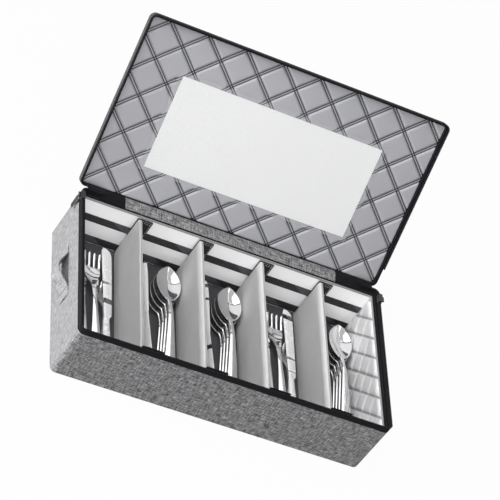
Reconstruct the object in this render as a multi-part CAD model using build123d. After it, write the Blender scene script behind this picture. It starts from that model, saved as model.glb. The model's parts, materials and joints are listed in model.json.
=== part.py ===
from build123d import *
import math
import os

# Silverware chest: a fabric-covered tray with a zipped lid, four dividers and five bays of cutlery.
# X runs along the front, Y towards the hinge, Z up, and the origin is the middle of the underside.
# Each piece is drawn where it sits with the lid standing open.

os.makedirs("parts", exist_ok=True)

RUB = 0.3  # clearance between pieces that slide or rest against each other

# ---- tray: the bays and the knives set its inside, and the walls go round that
BAY_1_W = 84.0  # clear widths, left to right
BAY_2_W = 90.0
BAY_3_W = 90.5
BAY_4_W = 90.5
BAY_5_W = 79.0
DIV_T = 5.0
KNIFE_L = 220.0
KNIFE_ROOM = 20.0  # length of a bay beyond the knife
WALL = 5.0
LINER = 3.0
CASE_H = 87.0
CORNER_R = 9.0
BOTTOM = 4.0
FOOT_ROUND = 2.5
PAD = 2.2

# ---- rim
BINDING = 0.8
PIPING = 1.0
PIPING_H = 3.0
TAPE = 1.4
BODY_TAPE_H = 8.0  # from the rim up to the teeth
LID_TAPE_H = 3.4
CHAIN_W = 2.4
CHAIN_H = 1.5
TAPE_RETURN = 30.0  # length of tape behind each back corner

# ---- lid
LID_OPEN = 119.0
LID_SIDE_LIP = 0.5  # how far the lid oversails the tray at the ends and the front
LID_FRONT_LIP = 1.2
LID_H = 11.5
LID_BOARD = 3.5
LID_SIDE = 4.0
LID_ROUND = 3.0
LINING = 3.5

# ---- fabric hinge
ROLL_R = 1.9
WEB_LEAVE = 37.0  # angle round the roll, from the top, at which the back of the web leaves it
BAND_W = 332.0
GUSSET_W = 37.0
RIM_STRIP_W = 6.0
RIM_STRIP_T = 0.8
RIM_STRIP_SETBACK = 1.0

# ---- card in the lid
CARD_W = 316.0
CARD_D = 137.0
CARD_T = 0.5
CARD_FROM_HINGE = 123.0
SLEEVE_EDGE = 5.0

# ---- hook-and-loop
STRIP_T = 1.0
STRIP_W = 12.5
STRIP_LOW = 15.0  # middle of the lower strip, from the underside
STRIP_BELOW_RIM = 34.0
TAB_T = 1.2
TAB_H = 37.0
TAB_W_BACK = 18.0
TAB_W_FRONT = 28.0
TAB_BELOW_BACK = 4.0  # the back tabs stop below the rim
TAB_ABOVE_FRONT = 4.0  # the front tabs stand above it

# ---- dividers
DIV_BELOW_RIM = 1.8
DIV_ROUND = 6.0

# ---- strap handles
STRAP_T = 2.2
STRAP_W = 23.0
STRAP_TOP = 57.0
STRAP_MID_Y = 8.0
STRAP_L = 62.0
STRAP_BULGE = 16.0
STRAP_PATCH = 14.0

# ---- zip sliders and pulls
SLIDER_L = 14.0
SLIDER_T = 1.5
SLIDER_ROOF = 2.2
SLIDER_H = 6.5
SLIDER_PARK = 1.0  # from the parked slider to the start of the corner
LID_TAPE_CLEAR = 6.0  # the lid's tape stops this far in front of the parked slider
PULL_L = 26.0
PULL_W = 7.0
PULL_T = 1.2
PIN_R = 0.7
PIN_OUT = 1.9
PIN_DROP = 3.0
LUG_T = 1.4
BARREL_R = 1.5
BARREL_L = 4.0

# ---- forks
METAL_T = 2.0
HANDLE_END_W = 17.0
NECK_W = 6.5
TABLE_FORK_SHORTER = 25.0  # than the knife
TABLE_FORK_W = 25.0
SALAD_FORK_SHORTER = 60.0
SALAD_FORK_W = 20.0
FORK_TINES = 4
TINE_W = 3.4
TINE_L = 44.0
FORK_ARCH = 6.0
FORK_NEST_FRONT = 2.5  # steps from one nested fork to the next one under it
FORK_NEST_DOWN = 3.0
TABLE_FORK_LIFT = 1.1  # added to that step for the longer fork on top

# ---- spoons
SPOON_SHORTER = 25.0  # than the knife
SPOON_W = 38.0
BOWL_L = 64.0
BOWL_DEPTH = 6.5
BOWL_T = 1.5
SPOON_ARCH = 10.0
SPOONS = 4
SPOON_NECK = 6.0  # length of the handle's root under the bowl
NEST_LEFT = 2.7  # steps from one nested spoon to the next one under it
NEST_FRONT = 5.7
NEST_DOWN = 4.8

# ---- knives
KNIFE_HANDLE_L = 92.0
KNIFE_HANDLE_W = 14.0
KNIFE_HANDLE_T = 7.0
KNIFE_NECK_W = 9.0
GRIP_SIDES = 12
BLADE_T = 2.0
BLADE_W = 16.0

# ---- how the cutlery lies in its bays, from the right-hand board and the back lining
FLAT_KNIFE_SIDE = 10.0
FLAT_KNIFE_FRONT = 6.0
FLAT_KNIFE_SETTLE = 1.0  # how far its tapered grip sinks past the forks' highest point
LEFT_FORKS = 3  # salad forks under the table fork
LEFT_FORK_SIDE = 37.0
LEFT_FORK_BACK = 43.0
TABLE_FORK_SIDE = 30.5
TABLE_FORK_BACK = 34.0
TABLE_FORK_TURN = 2.3
RIGHT_FORKS = 2  # salad forks under the knife
RIGHT_FORK_SIDE = 6.0
RIGHT_FORK_BACK = 70.0
KNIFE_BACK = 8.0
SPOON_SIDE = 1.5
SPOON_BACK = 15.0
SPOON_KNIFE_GAP = 3.9
SPOON_KNIFE_TURN = 2.0

BAYS = (BAY_1_W, BAY_2_W, BAY_3_W, BAY_4_W, BAY_5_W)
IN_W = sum(BAYS) + (len(BAYS) - 1) * DIV_T  # clear width and depth inside the lining
IN_D = KNIFE_L + KNIFE_ROOM
CASE_W = IN_W + 2 * (WALL + LINER)
CASE_D = IN_D + 2 * (WALL + LINER)
HALF_W = CASE_W / 2
HALF_D = CASE_D / 2
FLOOR = BOTTOM + PAD
REST = FLOOR + RUB  # height on which the cutlery and the dividers stand
RIM = CASE_H + BINDING
TAPE_TOP = CASE_H + BODY_TAPE_H
TAPE_END_X = HALF_W - TAPE_RETURN
AXIS_Y = HALF_D + ROLL_R
AXIS_Z = CASE_H + ROLL_R + RUB
LID_W = CASE_W + 2 * LID_SIDE_LIP
LID_FRONT = -HALF_D - LID_FRONT_LIP
LID_CHAIN_Z = TAPE_TOP + CHAIN_H + RUB
LID_TAPE_Z = LID_CHAIN_Z + CHAIN_H
LID_SKIRT = LID_TAPE_Z + LID_TAPE_H
LID_TOP = LID_SKIRT + LID_H
SLIDER_Y = HALF_D - CORNER_R - SLIDER_PARK - SLIDER_L / 2
SLIDER_TOP = LID_CHAIN_Z + SLIDER_ROOF
LID_TAPE_BACK = SLIDER_Y - SLIDER_L / 2 - LID_TAPE_CLEAR


def slab(x0, x1, y0, y1, z0, z1):
    """A box between two opposite corners."""
    return Pos((x0 + x1) / 2, (y0 + y1) / 2, (z0 + z1) / 2) * Box(x1 - x0, y1 - y0, z1 - z0)


def block(width, depth, radius, z0, z1):
    """An upright block with rounded corners, centred on the origin."""
    return Pos(0, 0, z0) * extrude(RectangleRounded(width, depth, radius), z1 - z0)


def ring(width, depth, radius, thickness, z0, z1):
    """An upright rounded frame whose outside is width by depth."""
    inner = max(radius - thickness, 0.6)
    hollow = block(width - 2 * thickness, depth - 2 * thickness, inner, z0, z1)
    return block(width, depth, radius, z0, z1) - hollow


def save(name, *solids):
    """Write one node, as one solid or as a group of separate ones."""
    shape = solids[0] if len(solids) == 1 else Compound(children=list(solids))
    export_step(shape, f"parts/{name}.step")


def mirrored(shape):
    """The same piece on the other end of the case."""
    return mirror(shape, about=Plane.YZ)


def opened(shape):
    """Carry a piece of the closed lid to its open position."""
    return shape.rotate(Axis((0, AXIS_Y, AXIS_Z), (1, 0, 0)), -LID_OPEN)


# ---- the tray: floor and four walls, one folded and covered board
tray = block(CASE_W, CASE_D, CORNER_R, 0, CASE_H)
tray = chamfer(tray.edges().group_by(Axis.Z)[0], FOOT_ROUND)
tray -= block(CASE_W - 2 * WALL, CASE_D - 2 * WALL, CORNER_R - WALL, BOTTOM, CASE_H)
save("shell_tray", tray)
save("floor_pad", block(CASE_W - 2 * WALL, CASE_D - 2 * WALL, CORNER_R - WALL, BOTTOM, FLOOR))

# ---- lining boards: long ones on the front and back walls, short ones between them
lining = ring(IN_W + 2 * LINER, IN_D + 2 * LINER, CORNER_R - WALL, LINER, FLOOR, CASE_H)
half_in_w = IN_W / 2
half_in_d = IN_D / 2
save("liner_back", lining & slab(-HALF_W, HALF_W, half_in_d, HALF_D, 0, CASE_H))
save("liner_front", lining & slab(-HALF_W, HALF_W, -HALF_D, -half_in_d, 0, CASE_H))
save("liner_left", lining & slab(-HALF_W, -half_in_w, -half_in_d, half_in_d, 0, CASE_H))
save("liner_right", lining & slab(half_in_w, HALF_W, -half_in_d, half_in_d, 0, CASE_H))

# ---- hook-and-loop strips along the front and back walls
strip_y = half_in_d - STRIP_T / 2
strip = Box(IN_W - 2 * RUB, STRIP_T, STRIP_W)
strip_high = CASE_H - STRIP_BELOW_RIM
save("hook_strips_back", Pos(0, strip_y, STRIP_LOW) * strip, Pos(0, strip_y, strip_high) * strip)
save("hook_strips_front", Pos(0, -strip_y, STRIP_LOW) * strip, Pos(0, -strip_y, strip_high) * strip)

# ---- rim: grey piping inside, black binding over the wall, zip tape standing on three sides
save("rim_piping", ring(IN_W, IN_D, CORNER_R - WALL - LINER, PIPING, CASE_H - PIPING_H, CASE_H))
rim_w = WALL + LINER + PIPING
save("rim_binding", ring(CASE_W, CASE_D, CORNER_R, rim_w, CASE_H, RIM))
hinge_gap = slab(-TAPE_END_X, TAPE_END_X, 0, CASE_D, 0, 2 * CASE_H)
body_tape = ring(CASE_W, CASE_D, CORNER_R, TAPE, RIM, TAPE_TOP)
save("body_zip_tape", body_tape - hinge_gap)
overlap = CHAIN_W - TAPE
chain = ring(CASE_W + overlap, CASE_D + overlap, CORNER_R, CHAIN_W, TAPE_TOP, TAPE_TOP + CHAIN_H)
save("body_zip_chain", chain - hinge_gap)

# ---- lid: board and skirt, quilted lining, zip tape on three sides
lid_d = HALF_D - LID_FRONT
lid_mid = Pos(0, (HALF_D + LID_FRONT) / 2, 0)
lid_under = LID_TOP - LID_BOARD
lid_in_w = LID_W - 2 * LID_SIDE
lid_in_d = lid_d - 2 * LID_SIDE
lid = block(LID_W, lid_d, CORNER_R, LID_SKIRT, LID_TOP)
lid = chamfer(lid.edges().group_by(Axis.Z)[-1], LID_ROUND)
lid -= block(lid_in_w, lid_in_d, CORNER_R - LID_SIDE, LID_SKIRT, lid_under)
save("lid_shell", opened(lid_mid * lid))
face_z = lid_under - LINING
quilt = block(lid_in_w, lid_in_d, CORNER_R - LID_SIDE, face_z, lid_under)
save("lid_lining", opened(lid_mid * quilt))
hinge_side = slab(-CASE_W, CASE_W, LID_TAPE_BACK, CASE_D, 0, 2 * CASE_H)
lid_tape = lid_mid * ring(LID_W, lid_d, CORNER_R, TAPE, LID_TAPE_Z, LID_SKIRT)
save("lid_zip_tape", opened(lid_tape - hinge_side))
lid_chain = lid_mid * ring(LID_W + overlap, lid_d + overlap, CORNER_R, CHAIN_W, LID_CHAIN_Z, LID_TAPE_Z)
save("lid_zip_chain", opened(lid_chain - hinge_side))

# ---- blank card behind the welded edge of a clear sleeve
card_place = Pos(0, AXIS_Y - CARD_FROM_HINGE, face_z - CARD_T / 2)
card = Box(CARD_W, CARD_D, CARD_T)
slot = Box(CARD_W + 2 * RUB, CARD_D + 2 * RUB, CARD_T)
sleeve = Box(CARD_W + 2 * SLEEVE_EDGE, CARD_D + 2 * SLEEVE_EDGE, CARD_T) - slot
save("lid_card", opened(card_place * card))
save("lid_card_sleeve", opened(card_place * sleeve))

# ---- fabric hinge: a roll on the hinge line that spreads up to the lid's skirt
web_leave = math.radians(WEB_LEAVE)
wedge = Polyline(
    (AXIS_Y - ROLL_R, AXIS_Z),
    (HALF_D - LID_SIDE, LID_SKIRT),
    (HALF_D, LID_SKIRT),
    (AXIS_Y + ROLL_R * math.sin(web_leave), AXIS_Z + ROLL_R * math.cos(web_leave)),
    (AXIS_Y, AXIS_Z),
    close=True,
)


def hinge_fabric(x0, x1):
    """A length of the hinge roll and the web above it."""
    plane = Plane(origin=(x0, 0, 0), x_dir=(0, 1, 0), z_dir=(1, 0, 0))
    web = extrude(plane * make_face(wedge), x1 - x0)
    roll = extrude(plane * (Pos(AXIS_Y, AXIS_Z) * Circle(ROLL_R)), x1 - x0)
    return opened(web + roll)


band_end = BAND_W / 2
gusset_end = band_end + RUB + GUSSET_W
save("hinge_band", hinge_fabric(-band_end, band_end))
save("hinge_gusset_left", hinge_fabric(-gusset_end, -band_end - RUB))
save("hinge_gusset_right", hinge_fabric(band_end + RUB, gusset_end))
strip_back = HALF_D - RIM_STRIP_SETBACK
rim_strip = slab(-band_end, band_end, strip_back - RIM_STRIP_W, strip_back, RIM, RIM + RIM_STRIP_T)
save("hinge_rim_strip", rim_strip)

# ---- strap handles: two sewn ends and a bowed middle that swings out
strap_wall = -HALF_W - RUB
strap_crown = -HALF_W - STRAP_BULGE
strap_ends = (STRAP_MID_Y - STRAP_L / 2, STRAP_MID_Y + STRAP_L / 2)
inner_bow = ThreePointArc(
    (strap_wall, strap_ends[0]),
    (strap_crown + STRAP_T, STRAP_MID_Y),
    (strap_wall, strap_ends[1]),
)
outer_bow = ThreePointArc(
    (strap_wall - STRAP_T, strap_ends[0]),
    (strap_crown, STRAP_MID_Y),
    (strap_wall - STRAP_T, strap_ends[1]),
)
closers = [Line(inner_bow @ 0, outer_bow @ 0), Line(inner_bow @ 1, outer_bow @ 1)]
bow_face = make_face([inner_bow, outer_bow] + closers)
strap = Pos(0, 0, STRAP_TOP - STRAP_W) * extrude(bow_face, STRAP_W)
patch = []
for end, way in ((strap_ends[0], -1), (strap_ends[1], 1)):
    near = end + way * RUB
    far = end + way * STRAP_PATCH
    patch.append(
        slab(-HALF_W - STRAP_T, -HALF_W, min(near, far), max(near, far), STRAP_TOP - STRAP_W, STRAP_TOP)
    )
save("handle_left_strap", strap)
save("handle_left_patches", *patch)
save("handle_right_strap", mirrored(strap))
save("handle_right_patches", *[mirrored(p) for p in patch])

# ---- zip slider: two plates joined over the teeth, with lugs and a pin for the pull
slot_out = -HALF_W - overlap / 2 - RUB
slot_in = slot_out + CHAIN_W + 2 * RUB
slider_y0 = SLIDER_Y - SLIDER_L / 2
slider_y1 = SLIDER_Y + SLIDER_L / 2
plate_foot = SLIDER_TOP - SLIDER_H
slider = slab(slot_out - SLIDER_T, slot_in + SLIDER_T, slider_y0, slider_y1, plate_foot, SLIDER_TOP)
slider = fillet(slider.edges().filter_by(Axis.Z), SLIDER_T)
slider -= slab(slot_out, slot_in, slider_y0, slider_y1, plate_foot, LID_CHAIN_Z)
pin_x = slot_out - SLIDER_T - PIN_OUT
pin_z = SLIDER_TOP - PIN_DROP
lug_in = BARREL_L / 2 + RUB
for way in (-1, 1):
    lug_mid = SLIDER_Y + way * (lug_in + LUG_T / 2)
    lug = Pos((pin_x + slot_out) / 2, lug_mid, pin_z) * Box(slot_out - pin_x, LUG_T, 2 * BARREL_R)
    boss = Pos(pin_x, lug_mid, pin_z) * Rot(90, 0, 0) * Cylinder(BARREL_R, LUG_T)
    slider += lug + boss
slider -= slab(slot_out, slot_in, slider_y0, slider_y1, plate_foot, LID_CHAIN_Z)
slider += Pos(pin_x, SLIDER_Y, pin_z) * Rot(90, 0, 0) * Cylinder(PIN_R, 2 * (lug_in + LUG_T))
save("zip_slider_left", slider)
save("zip_slider_right", mirrored(slider))

# ---- pull tab: a barrel on the pin, a neck and a flat tongue with a hole
neck_l = 3 * BARREL_R
tongue = Pos(0, 0, -neck_l - (PULL_L - neck_l) / 2) * Box(PULL_T, PULL_W, PULL_L - neck_l)
tongue = fillet(tongue.edges().filter_by(Axis.X), PULL_W / 3)
neck = Pos(0, 0, -neck_l / 2) * Box(PULL_T, BARREL_L, neck_l + PULL_T)
pull = tongue + neck + Rot(90, 0, 0) * Cylinder(BARREL_R, BARREL_L)
pull -= Rot(90, 0, 0) * Cylinder(PIN_R + RUB, BARREL_L)
pull -= Pos(0, 0, PULL_W / 2 - PULL_L) * Rot(0, 90, 0) * Cylinder(PULL_W / 4, 2 * PULL_T)
pull = Pos(pin_x, SLIDER_Y, pin_z) * pull
save("zip_pull_left", pull)
save("zip_pull_right", mirrored(pull))

# ---- dividers: an upright board with a hook tab across each end
div_end = half_in_d - STRIP_T - RUB - TAB_T
bay_rights = []
bay_left = -half_in_w
for number, bay_w in enumerate(BAYS, 1):
    bay_right = bay_left + bay_w
    bay_rights.append(bay_right)
    bay_left = bay_right + DIV_T
    if number == len(BAYS):
        break
    board = slab(bay_right, bay_left, -div_end, div_end, REST, CASE_H - DIV_BELOW_RIM)
    top_corners = board.edges().filter_by(Axis.X).group_by(Axis.Z)[-1]
    save(f"divider_{number}", fillet(top_corners, DIV_ROUND))
    back_top = CASE_H - TAB_BELOW_BACK
    front_top = CASE_H + TAB_ABOVE_FRONT
    back_tab = slab(bay_right, bay_left + TAB_W_BACK, div_end, div_end + TAB_T, back_top - TAB_H, back_top)
    front_tab = slab(
        bay_right, bay_left + TAB_W_FRONT, -div_end - TAB_T, -div_end, front_top - TAB_H, front_top
    )
    save(f"divider_{number}_tabs", back_tab, front_tab)


def bent_strip(points, thickness):
    """A long strip whose side view follows the points (y, z), wide enough to cut any outline from."""
    high = [(y, z + thickness) for y, z in reversed(points)]
    side = make_face(Polyline(*points, *high, close=True))
    plane = Plane(origin=(-CASE_H, 0, 0), x_dir=(0, 1, 0), z_dir=(1, 0, 0))
    return extrude(plane * side, 2 * CASE_H)


def plan_face(half_widths, scale=1.0, middle=0.0):
    """A flat plan through (y, half width) pairs, alike on both sides and scaled about (0, middle)."""
    right = [(scale * w, middle + scale * (y - middle)) for y, w in half_widths]
    left = [(-x, y) for x, y in reversed(right)]
    return make_face(Polyline(*right, *left, close=True))


def outline(half_widths):
    """A tall block with that plan."""
    return Pos(0, 0, -CASE_H) * extrude(plan_face(half_widths), 2 * CASE_H)


def handle_plan(start, neck_l, length):
    """The plan of a handle: a narrow neck that widens evenly to a rounded end."""
    return [
        (start, NECK_W / 2),
        (start - neck_l, NECK_W / 2),
        (HANDLE_END_W - length, 0.5 * HANDLE_END_W),
        (HANDLE_END_W / 4 - length, 0.46 * HANDLE_END_W),
        (HANDLE_END_W / 16 - length, 0.32 * HANDLE_END_W),
        (-length, 0.15 * HANDLE_END_W),
    ]


def seated(shape):
    """The same shape with its lowest point at z = 0."""
    return Pos(0, 0, -shape.bounding_box().min.Z) * shape


def fork(length, head_w):
    """A fork lying on its back, tine tips at y = 0 and the handle towards -y."""
    half = head_w / 2
    tine_l = TINE_L * head_w / TABLE_FORK_W
    tine_w = TINE_W * head_w / TABLE_FORK_W
    root = -tine_l - half
    neck_y = root - head_w
    plan = [
        (0, 0.9 * half),
        (-tine_l / 2, half),
        (root + 0.2 * head_w, 0.98 * half),
        (root - 0.08 * head_w, 0.85 * half),
        (root - 0.36 * head_w, 0.56 * half),
        (root - 0.65 * head_w, 0.34 * half),
    ]
    plan += handle_plan(neck_y, head_w, length)
    side = [
        (METAL_T, FORK_ARCH),
        (-tine_l * 0.3, 0.5 * FORK_ARCH),
        (-tine_l * 0.65, 0.14 * FORK_ARCH),
        (root, 0),
        (root - 0.5 * head_w, 0.5 * FORK_ARCH),
        (neck_y, 0.92 * FORK_ARCH),
        (neck_y - head_w, FORK_ARCH),
        (-0.75 * length, 0.72 * FORK_ARCH),
        (-length - METAL_T, 0),
    ]
    body = outline(plan) & bent_strip(side, METAL_T)
    gap = (head_w - FORK_TINES * tine_w) / (FORK_TINES - 1)
    for n in range(FORK_TINES - 1):
        x = -half + tine_w + gap / 2 + n * (gap + tine_w)
        body -= Pos(x, (METAL_T - tine_l) / 2, 0) * Box(gap, tine_l + METAL_T, CASE_H)
    return seated(body)


def spoon():
    """A spoon lying on its back, bowl tip at y = 0 and the handle towards -y."""
    spoon_l = KNIFE_L - SPOON_SHORTER
    oval = [
        (0, 0.09 * SPOON_W),
        (-0.07 * BOWL_L, 0.27 * SPOON_W),
        (-0.23 * BOWL_L, 0.43 * SPOON_W),
        (-0.45 * BOWL_L, 0.5 * SPOON_W),
        (-0.67 * BOWL_L, 0.45 * SPOON_W),
        (-0.84 * BOWL_L, 0.31 * SPOON_W),
        (-0.95 * BOWL_L, 0.16 * SPOON_W),
        (-BOWL_L, NECK_W / 2),
    ]
    levels = []
    for scale, height in ((1.0, BOWL_DEPTH), (0.77, 0.5 * BOWL_DEPTH), (0.42, 0)):
        levels.append(Pos(0, 0, height) * plan_face(oval, scale, -0.45 * BOWL_L))
    dish = loft(levels, ruled=True)
    bowl = dish - Pos(0, 0, BOWL_T) * dish
    start = SPOON_NECK - BOWL_L
    plan = handle_plan(start, SPOON_NECK + 0.5 * SPOON_W, spoon_l)
    side = [
        (start, BOWL_DEPTH - METAL_T),
        (start - SPOON_NECK, BOWL_DEPTH - 0.3 * METAL_T),
        (start - 0.5 * SPOON_W, 0.85 * SPOON_ARCH),
        (start - SPOON_W, SPOON_ARCH),
        (-0.8 * spoon_l, 0.6 * SPOON_ARCH),
        (-spoon_l - METAL_T, 0),
    ]
    return seated(bowl + (outline(plan) & bent_strip(side, METAL_T)))


def knife():
    """A table knife lying flat, handle end at y = 0, the blade towards -y and its edge at -x."""
    sections = []
    for y, width, thickness in (
        (0, 0.8 * KNIFE_HANDLE_W, 0.8 * KNIFE_HANDLE_T),
        (-0.25 * KNIFE_HANDLE_L, KNIFE_HANDLE_W, KNIFE_HANDLE_T),
        (-0.7 * KNIFE_HANDLE_L, 0.8 * KNIFE_HANDLE_W, 0.8 * KNIFE_HANDLE_T),
        (-KNIFE_HANDLE_L, KNIFE_NECK_W, 0.6 * KNIFE_HANDLE_T),
    ):
        corners = []
        for k in range(GRIP_SIDES):
            turn = 2 * math.pi * (k + 0.5) / GRIP_SIDES
            corners.append((width / 2 * math.cos(turn), thickness / 2 * math.sin(turn)))
        sections.append(Pos(0, y, 0) * Rot(90, 0, 0) * make_face(Polyline(*corners, close=True)))
    grip = loft(sections, ruled=True)
    half = BLADE_W / 2
    start = BLADE_T - KNIFE_HANDLE_L
    blade = [
        (0.4 * KNIFE_NECK_W, start),
        (0.9 * half, 0.4 * BLADE_W - KNIFE_L),
        (0.5 * half, -KNIFE_L),
        (0, 0.08 * BLADE_W - KNIFE_L),
        (-0.5 * half, 0.4 * BLADE_W - KNIFE_L),
        (-0.85 * half, 0.9 * BLADE_W - KNIFE_L),
        (-half, 1.6 * BLADE_W - KNIFE_L),
        (-half, start - BLADE_W),
        (-0.75 * half, start - 0.4 * BLADE_W),
        (-0.4 * KNIFE_NECK_W, start),
    ]
    return grip + Pos(0, 0, -BLADE_T / 2) * extrude(make_face(Polyline(*blade, close=True)), BLADE_T)


# ---- fork bays: a table fork over salad forks, and beside it a knife flat on two more salad forks
table_fork_l = KNIFE_L - TABLE_FORK_SHORTER
salad_fork_l = KNIFE_L - SALAD_FORK_SHORTER
for bay in (1, 4):
    right = bay_rights[bay - 1]
    forks = []
    for count, side, back in (
        (LEFT_FORKS, LEFT_FORK_SIDE, LEFT_FORK_BACK),
        (RIGHT_FORKS, RIGHT_FORK_SIDE, RIGHT_FORK_BACK),
    ):
        fork_x = right - side - SALAD_FORK_W / 2
        for n in range(count):
            tip_y = half_in_d - back - (count - 1 - n) * FORK_NEST_FRONT
            place = Pos(fork_x, tip_y, REST + n * FORK_NEST_DOWN)
            forks.append(place * fork(salad_fork_l, SALAD_FORK_W))
    knife_z = forks[-1].bounding_box().max.Z + RUB - FLAT_KNIFE_SETTLE
    place = Pos(
        right - TABLE_FORK_SIDE - TABLE_FORK_W / 2,
        half_in_d - TABLE_FORK_BACK,
        REST + LEFT_FORKS * FORK_NEST_DOWN + TABLE_FORK_LIFT,
    )
    forks.append(place * Rot(0, 0, TABLE_FORK_TURN) * fork(table_fork_l, TABLE_FORK_W))
    save(f"bay{bay}_forks", *forks)
    place = Pos(right - FLAT_KNIFE_SIDE - BLADE_W / 2, FLAT_KNIFE_FRONT - half_in_d, knife_z)
    save(f"bay{bay}_knife", place * seated(Rot(0, 0, 180) * knife()))

# ---- spoon bays: nested spoons with a knife on its edge beside them
for bay in (2, 3, 5):
    knife_y = half_in_d - KNIFE_BACK
    spoon_x = bay_rights[bay - 1] - SPOON_SIDE - SPOON_W / 2
    spoons = []
    for n in range(SPOONS):
        under = SPOONS - 1 - n
        tip_y = half_in_d - SPOON_BACK - n * NEST_FRONT
        spoons.append(Pos(spoon_x - n * NEST_LEFT, tip_y, REST + under * NEST_DOWN) * spoon())
    save(f"bay{bay}_spoons", *spoons)
    nest_left = spoon_x - SPOON_W / 2 - (SPOONS - 1) * NEST_LEFT
    knife_x = nest_left - SPOON_KNIFE_GAP - KNIFE_HANDLE_T / 2
    on_edge = seated(Rot(0, -90, 0) * knife())
    save(f"bay{bay}_knife", Pos(knife_x, knife_y, REST) * Rot(0, 0, SPOON_KNIFE_TURN) * on_edge)
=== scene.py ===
import json
import math

import bmesh
import bpy
import numpy as np
from bpy.props import FloatProperty, FloatVectorProperty, PointerProperty
from mathutils import Matrix, Vector


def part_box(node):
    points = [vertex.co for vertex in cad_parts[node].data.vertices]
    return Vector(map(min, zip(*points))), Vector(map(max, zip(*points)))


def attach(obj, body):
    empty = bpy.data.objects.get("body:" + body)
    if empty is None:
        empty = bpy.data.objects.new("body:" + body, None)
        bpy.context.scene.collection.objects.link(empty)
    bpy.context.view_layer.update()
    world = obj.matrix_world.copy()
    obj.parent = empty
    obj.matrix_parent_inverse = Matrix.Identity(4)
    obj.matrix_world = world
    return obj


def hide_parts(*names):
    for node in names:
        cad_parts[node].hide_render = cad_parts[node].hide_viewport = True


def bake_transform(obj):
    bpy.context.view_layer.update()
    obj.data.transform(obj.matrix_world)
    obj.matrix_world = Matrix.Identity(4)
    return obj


# Silverware chest: the fabric, lining, quilting, zip, straps and cutlery that dress the solid model.
# Shapes are worked out in millimetres, X along the front, Y towards the hinge, Z up.

bl_info = {
    "name": "Silverware Chest Dressing",
    "version": (1, 0, 0),
    "blender": (4, 5, 0),
    "location": "View3D > Sidebar > Chest",
    "description": "Covers, lines and fits out a zipped silverware chest",
    "category": "Object",
}

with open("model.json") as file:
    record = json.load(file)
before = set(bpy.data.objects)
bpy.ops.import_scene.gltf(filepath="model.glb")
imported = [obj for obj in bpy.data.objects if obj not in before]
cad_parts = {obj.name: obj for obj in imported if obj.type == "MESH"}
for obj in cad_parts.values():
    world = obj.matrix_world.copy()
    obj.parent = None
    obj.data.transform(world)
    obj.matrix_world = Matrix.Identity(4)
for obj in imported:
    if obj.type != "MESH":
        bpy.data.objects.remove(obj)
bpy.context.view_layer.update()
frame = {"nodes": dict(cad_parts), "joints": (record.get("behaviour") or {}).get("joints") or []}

MM = 0.001
CORNER = 9.0  # radius of the case's upright corners
RIM_W = 9.0  # wall, lining and piping together
BOUND = 7.4  # how far the black binding reaches in over the rim
BOUND_SEAM = 4.6  # its row of stitches, from the outer face
FOOT = 2.5  # radius of the edge round the underside
BOARD = 4.0  # thickness of the case's floor
RIM_SHOULDER = 1.0  # width of the slope between the wall and the rim
LID_EDGE = 3.0  # radius of the edge round the lid's top
LID_WALL = 4.0  # thickness of the lid's skirt
LIP = 0.7  # radius of the skirt's lower edge
TAPE_RETURN = 30.0  # run of the case's zip tape behind each back corner
TAPE_T = 1.4  # thickness of the zip tapes
CHAIN_H = 1.5  # height of the zip teeth
STRAP_T = 2.0
HOOK_TAPE_W = 12.5
BOARD_ROUND = 6.0  # radius of a divider's corners
THREAD_W, THREAD_RISE = 0.6, 0.3
STITCH_SHARE = 0.62  # of a stitch's pitch that its thread covers
PATCH_T = 2.1  # the sewn ends of a strap
FELT_INSET = 5.0  # how much tighter the felt's corners are than the case's

hinge = next(j for j in frame["joints"] if j["name"] == "lid_hinge")
AXIS_Y, AXIS_Z = hinge["pos_m"][1] / MM, hinge["pos_m"][2] / MM
LID_OPEN = math.radians(max(abs(v) for v in hinge["range_deg"]))


def span(node):
    """The lowest and highest corners of a solid, in millimetres."""
    low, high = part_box(node)
    return np.array(low) / MM, np.array(high) / MM


HALF_W, HALF_D, CASE_H = span("shell_tray")[1]
IN_BACK = span("liner_back")[0][1]
LID_HALF_W = span("lid_shell")[1][0]
# heights and reach of the lid while it is shut
LID_FRONT, LID_BACK = -129.2, 128.0
LID_TOP, LID_UNDER, LID_SKIRT = 113.2, 109.7, 101.7
LID_TAPE_LOW, LID_CHAIN_LOW = 98.3, 96.8
LID_TAPE_END = 98.0  # where the lid's tape stops beside the hinge
CARD_MID = AXIS_Y - 123.0
CARD_HALF_D, SLEEVE_HALF_D, SLEEVE_HALF_W = 68.5, 73.5, 163.0
LINING_T = 3.5  # the lid's quilted lining
QUILT_START = 7.0  # from the hinge line to the first crossing of its channels
TAPE_TOP = span("body_zip_tape")[1][2]
RIM_TOP = span("rim_binding")[1][2]


class ChestSizes(bpy.types.PropertyGroup):
    """Sizes of the soft details, all of them lengths."""

    quilt_w: FloatProperty(
        name="Diamond width",
        description="Width of one quilted diamond of the lid lining",
        default=0.0585,
        unit="LENGTH",
    )
    quilt_l: FloatProperty(
        name="Diamond length",
        description="Length of one quilted diamond from the hinge to the front",
        default=0.0553,
        unit="LENGTH",
    )
    quilt_rise: FloatProperty(
        name="Quilt rise",
        description="Height of a quilted pad above its sewn channel",
        default=0.0024,
        unit="LENGTH",
    )
    end_quilt: FloatProperty(
        name="End diamond size",
        description="Size across the corners of a diamond on the end linings",
        default=0.036,
        unit="LENGTH",
    )
    stitch_pitch: FloatProperty(
        name="Stitch pitch",
        description="Distance from one stitch to the next",
        default=0.0034,
        unit="LENGTH",
    )
    tooth_pitch: FloatProperty(
        name="Tooth pitch",
        description="Distance from one zip tooth to the next",
        default=0.0021,
        unit="LENGTH",
    )


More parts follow.
